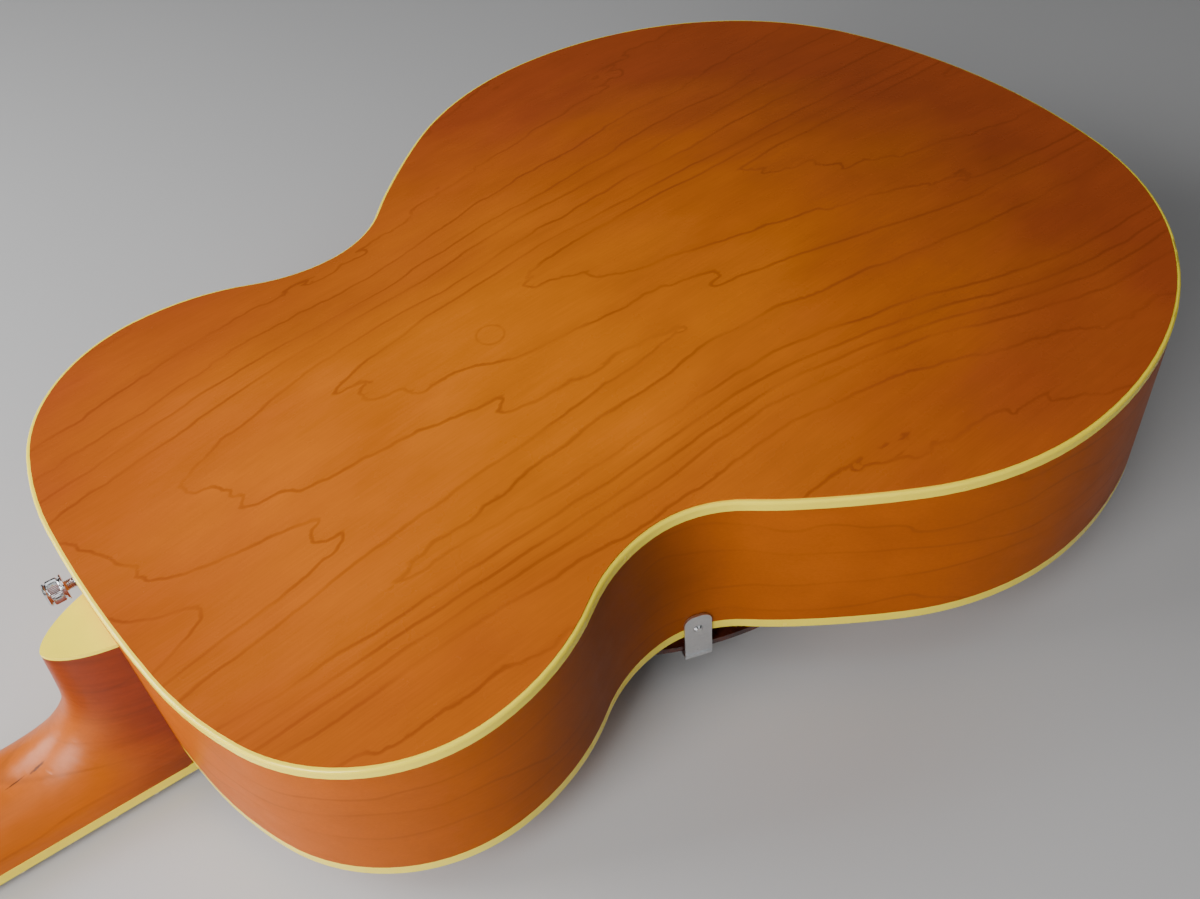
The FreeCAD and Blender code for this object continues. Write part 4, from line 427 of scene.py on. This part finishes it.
def wood(name, light, dark, line, share, spacing, wander, width, rough, coat,
         turn=(0, 0, 0), edge_share=1.0, shine=0.3, hollow=None):
    """Straight-grained wood; turn lays its grain's plane, and a darkening of stain and painted shade gathers
    around x = hollow.
    """
    material, sheet, surface, place = new_material(name)
    point = sheet.scaled(place, (1 / MM, 1 / MM, 1 / MM), turn=turn)
    lines = growth_lines(sheet, STRAIGHT, point, width, Spacing=spacing, Wander=wander)
    colour = body_tone(sheet, place, point, light, dark, edge_share)
    if hollow is not None:
        # Stain and painted shade: the wood darkens towards the waist's hollow, where less light falls
        along, _, _ = sheet.split(place)
        off = sheet.math("ABSOLUTE", sheet.math("SUBTRACT", along, hollow))
        colour = sheet.toned(colour, sheet.remap(off, *WAIST_STAIN_AND_SHADE, smooth=True))
    finish_wood(sheet, surface, place, point, colour, line, share, lines, rough, coat, shine)
    return material


# The heel's darker, redder colour along x and up z, partly a redder tint and partly painted shade near the
# body, its blotches and its curl
HEEL_ALONG = (-62 * MM, -8 * MM)
HEEL_UP = (30 * MM, 80 * MM, 0.0, 0.6)
HEEL_EDGE = (0.45, 1.45)
BLOTCH_GRAIN = (1 / (30 * MM), 1 / (20 * MM), 1 / (20 * MM))
BLOTCH_SHARE = 0.5
CURL_GRAIN = (1 / (30 * MM), 1 / (30 * MM), 1 / (1.6 * MM))
CURL_LEAN = (0, 0.12, 0)
CURL_TONES = (-0.07, 0.06)
# The flecks beside the heel, as place and half size in millimetres, and their strength
NECK_FLECKS = (((-56.5, -5.3), (5.0, 0.9)), ((-66.0, -4.4), (6.0, 0.5)))
FLECK_SHARE = 0.85


def neck_wood(name, light, dark, line, share, spacing, wander, width, rough, coat, shine):
    """The neck, with a darker, redder heel, partly a redder tint and partly painted shade where it meets the
    body, and two dark mineral flecks.
    """
    material, sheet, surface, place = new_material(name)
    point = sheet.scaled(place, (1 / MM, 1 / MM, 1 / MM), turn=ON_EDGE)
    lines = growth_lines(sheet, STRAIGHT, point, width, Spacing=spacing, Wander=wander)
    along, _, height = sheet.split(place)
    # Painted shade with a redder tint: the heel darkens towards the body joint and up towards its cap
    heel = sheet.math("ADD", sheet.remap(along, *HEEL_ALONG), sheet.remap(height, *HEEL_UP))
    blotch = sheet.noise(sheet.scaled(place, BLOTCH_GRAIN), 1.0, detail=3.0)
    heel = sheet.remap(sheet.math("MULTIPLY_ADD", blotch, BLOTCH_SHARE, heel), *HEEL_EDGE, smooth=True)
    colour = sheet.mix(heel, (*light, 1.0), (*dark, 1.0))
    curl = sheet.noise(sheet.scaled(place, CURL_GRAIN, turn=CURL_LEAN), 1.0, detail=1.0)
    curl = sheet.math("MULTIPLY", heel, sheet.remap(curl, *NOISE_MIDDLE, *CURL_TONES))
    colour = sheet.toned(colour, sheet.math("ADD", 1.0, curl))
    flat = sheet.scaled(place, (1 / MM, 1 / MM, 0.0))
    marks = sheet.math("MAXIMUM", *[fleck(sheet, flat, at, size) for at, size in NECK_FLECKS])
    colour = sheet.mix(sheet.math("MULTIPLY", marks, FLECK_SHARE), colour, (*line, 1.0))
    finish_wood(sheet, surface, place, point, colour, line, share, lines, rough, coat, shine)
    return material


# How the roughness of plastics, metals and wound strings wanders, and how fine their smudges are
PLASTIC_LOW, PLASTIC_HIGH = 0.8, 1.3
PLASTIC_SMUDGES = 60.0
PLASTIC_COAT = 0.08
METAL_DULLING = 0.14
METAL_SMUDGES = 90.0
WINDING_ROUGH = (0.25, 0.4)
WINDING_SMUDGES = 40.0
WINDING_BUMP, WINDING_DEPTH = 0.6, 0.1 * MM


def plastic(name, light, dark, scale, rough, clear=0.0):
    """A plastic whose colour wanders between two tones."""
    material, sheet, surface, place = new_material(name)
    cloud = sheet.remap(sheet.noise(place, scale, detail=3.0, roughness=0.6), *NOISE_MIDDLE)
    sheet.feed(surface.inputs["Base Color"], sheet.mix(cloud, (*light, 1.0), (*dark, 1.0)))
    handled(sheet, surface, place, rough * PLASTIC_LOW, rough * PLASTIC_HIGH, PLASTIC_SMUDGES)
    surface.inputs["Coat Weight"].default_value = clear
    surface.inputs["Coat Roughness"].default_value = PLASTIC_COAT
    return material


def metal(name, light, dark, rough):
    """A polished metal with smudges that dull and darken it a little."""
    material, sheet, surface, place = new_material(name)
    wear = handled(sheet, surface, place, rough, rough + METAL_DULLING, METAL_SMUDGES)
    sheet.feed(surface.inputs["Base Color"], sheet.mix(wear, (*light, 1.0), (*dark, 1.0)))
    surface.inputs["Metallic"].default_value = 1.0
    return material


def winding(name, light, dark, turns):
    """A wound string, with a fine ridge for every turn of the wrap wire, darker in the grooves between turns
    as painted shade; turns counts them per metre.
    """
    material, sheet, surface, place = new_material(name)
    along, _, _ = sheet.split(place)
    ridge = sheet.remap(sheet.math("SINE", sheet.math("MULTIPLY", along, 2 * math.pi * turns)), -1.0, 1.0)
    # Painted shade: the base colour darkens in the grooves between the wrap wire's turns
    sheet.feed(surface.inputs["Base Color"], sheet.mix(ridge, (*dark, 1.0), (*light, 1.0)))
    bumped(sheet, surface, ridge, WINDING_BUMP, WINDING_DEPTH)
    handled(sheet, surface, place, *WINDING_ROUGH, WINDING_SMUDGES)
    surface.inputs["Metallic"].default_value = 1.0
    return material


# Every material: what makes it, its light and dark colours, and its other values
LOOKS = {
    "maple_body": (plank_wood, (0.515, 0.135, 0.007), (0.31, 0.057, 0.012), {
        "line": (0.20, 0.036, 0.006), "share": 0.5, "rough": 0.27, "coat": 0.05, "shine": 0.18}),
    "maple_rib": (wood, (0.44, 0.100, 0.004), (0.38, 0.078, 0.004), {
        "line": (0.19, 0.040, 0.004), "share": 0.34, "spacing": 17.0, "wander": 1.5, "width": 1.1,
        "rough": 0.38, "coat": 0.0, "turn": ON_EDGE, "shine": 0.06, "hollow": RIB_HOLLOW}),
    "spruce_top": (wood, (0.64, 0.24, 0.02), (0.46, 0.13, 0.008), {
        "line": (0.34, 0.10, 0.01), "share": 0.45, "spacing": 2.1, "wander": 0.5, "width": 0.5,
        "rough": 0.38, "coat": 0.15}),
    "plain_wood": (wood, (0.62, 0.45, 0.26), (0.56, 0.40, 0.22), {
        "line": (0.38, 0.25, 0.12), "share": 0.5, "spacing": 4.0, "wander": 0.8, "width": 0.6,
        "rough": 0.6, "coat": 0.0, "edge_share": 0.3}),
    # The neck's dark colour is its heel's: partly a redder tint, partly painted shade near the body
    "maple_neck": (neck_wood, (0.45, 0.100, 0.003), (0.20, 0.026, 0.003), {
        "line": (0.05, 0.012, 0.003), "share": 0.2, "spacing": 14.0, "wander": 1.3, "width": 0.7,
        "rough": 0.36, "coat": 0.04, "shine": 0.25}),
    "rosewood": (wood, (0.085, 0.038, 0.022), (0.05, 0.022, 0.014), {
        "line": (0.02, 0.010, 0.007), "share": 0.8, "spacing": 3.0, "wander": 1.5, "width": 0.5,
        "rough": 0.5, "coat": 0.0, "edge_share": 0.4}),
    "cream_binding": (plastic, (1.0, 0.81, 0.045), (0.97, 0.76, 0.035), {"scale": 30.0, "rough": 0.22}),
    "cream_button": (plastic, (0.78, 0.64, 0.34), (0.68, 0.53, 0.25), {"scale": 90.0, "rough": 0.25}),
    "pearl": (plastic, (0.80, 0.82, 0.80), (0.62, 0.66, 0.68), {"scale": 300.0, "rough": 0.2}),
    "bone": (plastic, (0.80, 0.74, 0.58), (0.72, 0.64, 0.46), {"scale": 120.0, "rough": 0.35}),
    "black_lacquer": (plastic, (0.012, 0.012, 0.012), (0.02, 0.018, 0.016), {
        "scale": 40.0, "rough": 0.15, "clear": 0.5}),
    "tortoise": (plastic, (0.11, 0.022, 0.012), (0.018, 0.006, 0.005), {
        "scale": 70.0, "rough": 0.14, "clear": 0.5}),
    "nickel_silver": (metal, (0.66, 0.63, 0.55), (0.52, 0.49, 0.42), {"rough": 0.22}),
    "steel": (metal, (0.60, 0.60, 0.60), (0.45, 0.45, 0.44), {"rough": 0.22}),
    "brass": (metal, (0.70, 0.48, 0.16), (0.52, 0.34, 0.10), {"rough": 0.25}),
    "chrome": (metal, (0.78, 0.79, 0.80), (0.62, 0.63, 0.65), {"rough": 0.06}),
    "satin_plate": (metal, (0.74, 0.75, 0.76), (0.64, 0.65, 0.66), {"rough": 0.26}),
    # The winding's dark colour is the painted shade in its grooves
    "bronze_winding": (winding, (0.62, 0.38, 0.16), (0.34, 0.19, 0.07), {"turns": 2600.0}),
}
MATERIALS = {name: make(name, light, dark, **values) for name, (make, light, dark, values) in LOOKS.items()}
MATERIAL_OF = dict(SLOT_OF, rib_bass="maple_rib", rib_treble="maple_rib", pickguard_bracket="satin_plate")


def welded_copy(node):
    """A CAD node's mesh with its corners merged."""
    shape = bmesh.new()
    shape.from_mesh(frame["nodes"][node].data)
    bmesh.ops.remove_doubles(shape, verts=shape.verts, dist=WELD)
    for layer in list(shape.loops.layers.float_vector.values()):
        shape.loops.layers.float_vector.remove(layer)
    return shape


def close_holes(shape):
    """Fills every hole of a shape with a face."""
    bmesh.ops.holes_fill(shape, edges=[edge for edge in shape.edges if edge.is_boundary], sides=0)


def add_piece(name, shape, node, material):
    """Puts a modelled shape in the place of a CAD node, smooth apart from its sharp edges."""
    mesh = bpy.data.meshes.new(name)
    shape.to_mesh(mesh)
    shape.free()
    for layer in [a.name for a in mesh.attributes if a.name == "custom_normal"]:
        mesh.attributes.remove(mesh.attributes[layer])
    mesh.shade_smooth()
    mesh.set_sharp_from_angle(angle=SHARP_ANGLE)
    mesh.materials.append(MATERIALS[material])
    piece = bpy.data.objects.new(name, mesh)
    bpy.context.scene.collection.objects.link(piece)
    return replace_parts(piece, node)


def add_skin(node):
    """A welded, smooth-shaded stand-in for a CAD node, in the same place."""
    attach(add_piece(f"{node}_skin", welded_copy(node), node, MATERIAL_OF[node]), BODY_OF[node])


# The step from the flat head to the round shaft: its place, the carving's reach and the cuts for it
STEP_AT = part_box("nut")[1].x
STEP_REACH = 27 * MM
STEP_CUTS = 12
ROW_WIDTH = 2 * MM
ROWS = 10
# The shaft's half width, how far past the step its roundness is read, and how far the carving goes past it
SHAFT_HALF = 21 * MM
SHAFT_READ = 2 * MM
STEP_EASE = 0.5 * MM
# The band around the step where close corners merge, and how close they are
MERGE_BAND = 1.5 * MM
MERGE_GAP = 0.35 * MM


def cut_near_step(shape, at, way):
    """Cuts the faces around the head's step along a plane."""
    faces = [face for face in shape.faces if min(v.co.x for v in face.verts) < STEP_AT + WELD
             and max(v.co.x for v in face.verts) > STEP_AT - STEP_REACH]
    edges = {edge for face in faces for edge in face.edges}
    verts = {vert for face in faces for vert in face.verts}
    near = faces + list(edges) + list(verts)
    bmesh.ops.bisect_plane(shape, geom=near, dist=WELD, plane_co=at, plane_no=way)


def neck_height(x, y):
    """The height of the neck's back at a place, from above."""
    return frame["nodes"]["neck"].ray_cast(Vector((x, y, 1.0)), Vector((0, 0, -1)))[1].z


def carved_height(x, y):
    """The height of the slope that leads from the flat head to the round shaft."""
    share = min(1.0, (x - STEP_AT + STEP_REACH) / STEP_REACH)
    flat = neck_height(min(x, STEP_AT - STEP_EASE), 0.0)
    shaft = neck_height(STEP_AT + SHAFT_READ, max(-SHAFT_HALF, min(SHAFT_HALF, y)))
    return flat + (shaft - flat) * share * share * (3 - 2 * share)


def add_neck():
    """The neck, with the flat head carved down to the round shaft where they meet behind the nut."""
    shape = welded_copy("neck")
    for i in range(STEP_CUTS):
        cut_near_step(shape, (STEP_AT - i * STEP_REACH / STEP_CUTS, 0, 0), (1, 0, 0))
    for i in range(-ROWS, ROWS + 1):
        cut_near_step(shape, (0, i * ROW_WIDTH, 0), (0, 1, 0))
    for vert in shape.verts:
        if STEP_AT - STEP_REACH < vert.co.x < STEP_AT + STEP_EASE:
            vert.co.z = min(vert.co.z, carved_height(vert.co.x, vert.co.y))
    near = [vert for vert in shape.verts if abs(vert.co.x - STEP_AT) < MERGE_BAND]
    bmesh.ops.remove_doubles(shape, verts=near, dist=MERGE_GAP)
    bmesh.ops.dissolve_degenerate(shape, edges=shape.edges, dist=WELD)
    close_holes(shape)
    bmesh.ops.recalc_face_normals(shape, faces=shape.faces)
    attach(add_piece("neck_carved", shape, "neck", MATERIAL_OF["neck"]), BODY_OF["neck"])


def add_string(node):
    """A string in two lengths, which meet on the saddle and follow it when the thumbwheels lift it."""
    nut_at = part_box("nut")[1].x
    saddle_at = sum(corner.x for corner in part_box("bridge_saddle")) / 2
    bar_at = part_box("tailpiece_bar")[0].x
    lengths = (("speaking", nut_at, ("guitar", "saddle")), ("after", bar_at, ("saddle", "guitar")))
    for label, far_at, bodies in lengths:
        shape = welded_copy(node)
        whole = shape.verts[:] + shape.edges[:] + shape.faces[:]
        bmesh.ops.bisect_plane(
            shape, geom=whole, dist=WELD, plane_co=(saddle_at, 0, 0), plane_no=(1, 0, 0),
            clear_outer=label == "speaking", clear_inner=label == "after")
        close_holes(shape)
        piece = add_piece(f"{node}_{label}", shape, node, MATERIAL_OF[node])
        ends = ((far_at, 0, 0), (saddle_at, 0, 0))
        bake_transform(piece, *bodies, *(ends if label == "speaking" else reversed(ends)))


# A strap button's rings, as radius and height over the body, in millimetres
STRAP_WASHER_RINGS = ((3.3, 0.0), (3.3, 0.5), (2.9, 0.75))
STRAP_HEAD_RINGS = (
    (2.1, 4.75), (5.7, 4.8), (6.0, 5.0), (6.0, 5.5), (5.7, 5.7), (4.5, 5.8), (4.5, 6.3), (5.0, 6.5),
    (5.35, 6.9))
STRAP_KNURL_RINGS = ((5.5, 7.1), (5.5, 9.2), (5.5, 11.3))
STRAP_END_RINGS = (
    (5.35, 11.5), (4.7, 11.7), (4.7, 12.2), (5.3, 12.4), (5.4, 12.6), (5.4, 13.0), (4.7, 13.75),
    (2.2, 13.8), (2.0, 13.3))
# The thread's start, count and pitch, and the rings of one turn as radius and share of the pitch
STRAP_THREAD_START = 0.9
STRAP_THREADS = 5
STRAP_THREAD_PITCH = 0.74
STRAP_THREAD_TURN = ((1.9, 0.0), (2.35, 0.35), (2.35, 0.6))
# The height of the mount over the body, the corners of a ring, and the knurl grooves' share of the radius
STRAP_STEM_LENGTH = 4.8
STRAP_SEGMENTS = 96
KNURL_DEPTH = 0.945


def turn_of(vert):
    """A corner's angle around the z axis."""
    return math.atan2(vert.co.y, vert.co.x)


def next_ring(shape, ring, radius, height, to_radius, to_height):
    """Extrudes a ring of edges into the next one, and returns that ring's edges and corners."""
    grown = bmesh.ops.extrude_edge_only(shape, edges=ring)["geom"]
    points = [item for item in grown if isinstance(item, bmesh.types.BMVert)]
    bmesh.ops.translate(shape, verts=points, vec=(0, 0, to_height - height))
    bmesh.ops.scale(shape, verts=points, vec=(to_radius / radius, to_radius / radius, 1.0))
    edges = [item for item in grown if isinstance(item, bmesh.types.BMEdge)]
    return [edge for edge in edges if all(vert in points for vert in edge.verts)], points


def strap_button(shape, at, way):
    """A chromed strap button: washer, threaded stem, flange and a knurled head with a ring at its end."""
    threads = tuple((radius, STRAP_THREAD_START + (i + share) * STRAP_THREAD_PITCH)
                    for i in range(STRAP_THREADS) for radius, share in STRAP_THREAD_TURN)
    rings = STRAP_WASHER_RINGS + threads + STRAP_HEAD_RINGS + STRAP_KNURL_RINGS + STRAP_END_RINGS
    made = bmesh.ops.create_circle(shape, cap_ends=False, segments=STRAP_SEGMENTS, radius=rings[0][0] * MM)
    every = list(made["verts"])
    edges = list({edge for vert in every for edge in vert.link_edges})
    knurled = []
    bmesh.ops.contextual_create(shape, geom=edges)
    for (radius, height), (to_radius, to_height) in zip(rings, rings[1:]):
        edges, points = next_ring(shape, edges, radius, height * MM, to_radius, to_height * MM)
        every += points
        if (to_radius, to_height) in STRAP_KNURL_RINGS:
            knurled += sorted(points, key=turn_of)[1::2]
    bmesh.ops.contextual_create(shape, geom=edges)
    bmesh.ops.scale(shape, verts=knurled, vec=(KNURL_DEPTH, KNURL_DEPTH, 1.0))
    bmesh.ops.recalc_face_normals(shape, faces=list({face for vert in every for face in vert.link_faces}))
    base = Vector(at) - Vector(way) * STRAP_STEM_LENGTH * MM
    upright = Vector((0, 0, 1)).rotation_difference(Vector(way)).to_matrix().to_4x4()
    bmesh.ops.transform(shape, matrix=Matrix.Translation(base) @ upright, verts=every)


def add_strap_buttons():
    """The strap buttons, where the record has their mounts."""
    shape = bmesh.new()
    for mount in RECORD["mounts"]:
        if mount["name"].startswith("strap_button"):
            strap_button(shape, mount["pos_m"], mount["axis"])
    piece = add_piece("strap_buttons_turned", shape, "strap_buttons", "chrome")
    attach(piece, BODY_OF["strap_buttons"])


# Floor
FLOOR_REACH = 6.0
FLOOR_DARK, FLOOR_LIGHT = (0.50, 0.50, 0.503, 1.0), (0.52, 0.52, 0.523, 1.0)
FLOOR_CLOUDS = 3.0
FLOOR_ROUGH = 0.4

# Each lamp's name, place, size, power in watts and aim
LAMPS = (
    ("key", (-0.85, -0.36, 0.58), 0.6, 16.5, (0.10, 0.05, 0.05)),
    ("rear", (-0.80, 0.62, 0.58), 0.7, 18.0, (0.05, 0.15, 0.05)),
    ("fill", (0.1, -1.3, 0.8), 1.2, 2.4, (0.2, 0.0, 0.05)))

# The bright ceiling: its way, its edge as cosines from that way, its strengths and its colour
GLOW_WAY = Vector((-0.15, -0.12, 0.98)).normalized()
GLOW_EDGE = (0.93, 0.985)
GLOW_STRENGTHS = (0.06, 1.6)
GLOW_COLOUR = (0.98, 0.99, 1.0, 1.0)


def add_floor():
    """A plain pale floor under the guitar."""
    bed = bmesh.new()
    bmesh.ops.create_grid(bed, x_segments=1, y_segments=1, size=FLOOR_REACH)
    mesh = bpy.data.meshes.new("floor")
    bed.to_mesh(mesh)
    bed.free()
    floor = bpy.data.objects.new("floor", mesh)
    material, sheet, surface, place = new_material("floor")
    cloud = sheet.noise(place, FLOOR_CLOUDS)
    sheet.feed(surface.inputs["Base Color"], sheet.mix(cloud, FLOOR_DARK, FLOOR_LIGHT))
    surface.inputs["Roughness"].default_value = FLOOR_ROUGH
    mesh.materials.append(material)
    bpy.context.scene.collection.objects.link(floor)


def add_light(name, at, size, power, aim):
    """A square area lamp that points at a place."""
    lamp = bpy.data.lights.new(name, "AREA")
    lamp.size = size
    lamp.energy = power
    holder = bpy.data.objects.new(name, lamp)
    holder.location = at
    holder.rotation_euler = (Vector(aim) - Vector(at)).to_track_quat("-Z", "Y").to_euler()
    bpy.context.scene.collection.objects.link(holder)


def add_surroundings():
    """A dim room with a small bright ceiling, two lamps on the head side and a weak one in front."""
    world = bpy.data.worlds.new("studio")
    world.use_nodes = True
    sheet = Sheet(world.node_tree)
    way = sheet.node("ShaderNodeTexCoord").outputs["Generated"]
    facing = sheet.vector("DOT_PRODUCT", way, GLOW_WAY)
    background = world.node_tree.nodes["Background"]
    background.inputs["Color"].default_value = GLOW_COLOUR
    sheet.feed(background.inputs["Strength"], sheet.remap(facing, *GLOW_EDGE, *GLOW_STRENGTHS, smooth=True))
    bpy.context.scene.world = world
    add_floor()
    for lamp in LAMPS:
        add_light(*lamp)


def add_camera():
    """The camera that was fitted to the photograph."""
    lens = bpy.data.cameras.new("camera")
    lens.lens = CAMERA_LENS
    lens.sensor_width = SENSOR_WIDTH
    lens.clip_start = CAMERA_NEAR
    camera = bpy.data.objects.new("camera", lens)
    camera.location = CAMERA_AT
    camera.rotation_euler = CAMERA_WAY.to_track_quat("-Z", "Y").to_euler()
    bpy.context.scene.collection.objects.link(camera)
    bpy.context.scene.camera = camera


for node in frame["nodes"]:
    if node.startswith("string_"):
        add_string(node)
    elif node not in ("neck", "strap_buttons"):
        add_skin(node)
add_neck()
add_strap_buttons()
add_surroundings()
add_camera()
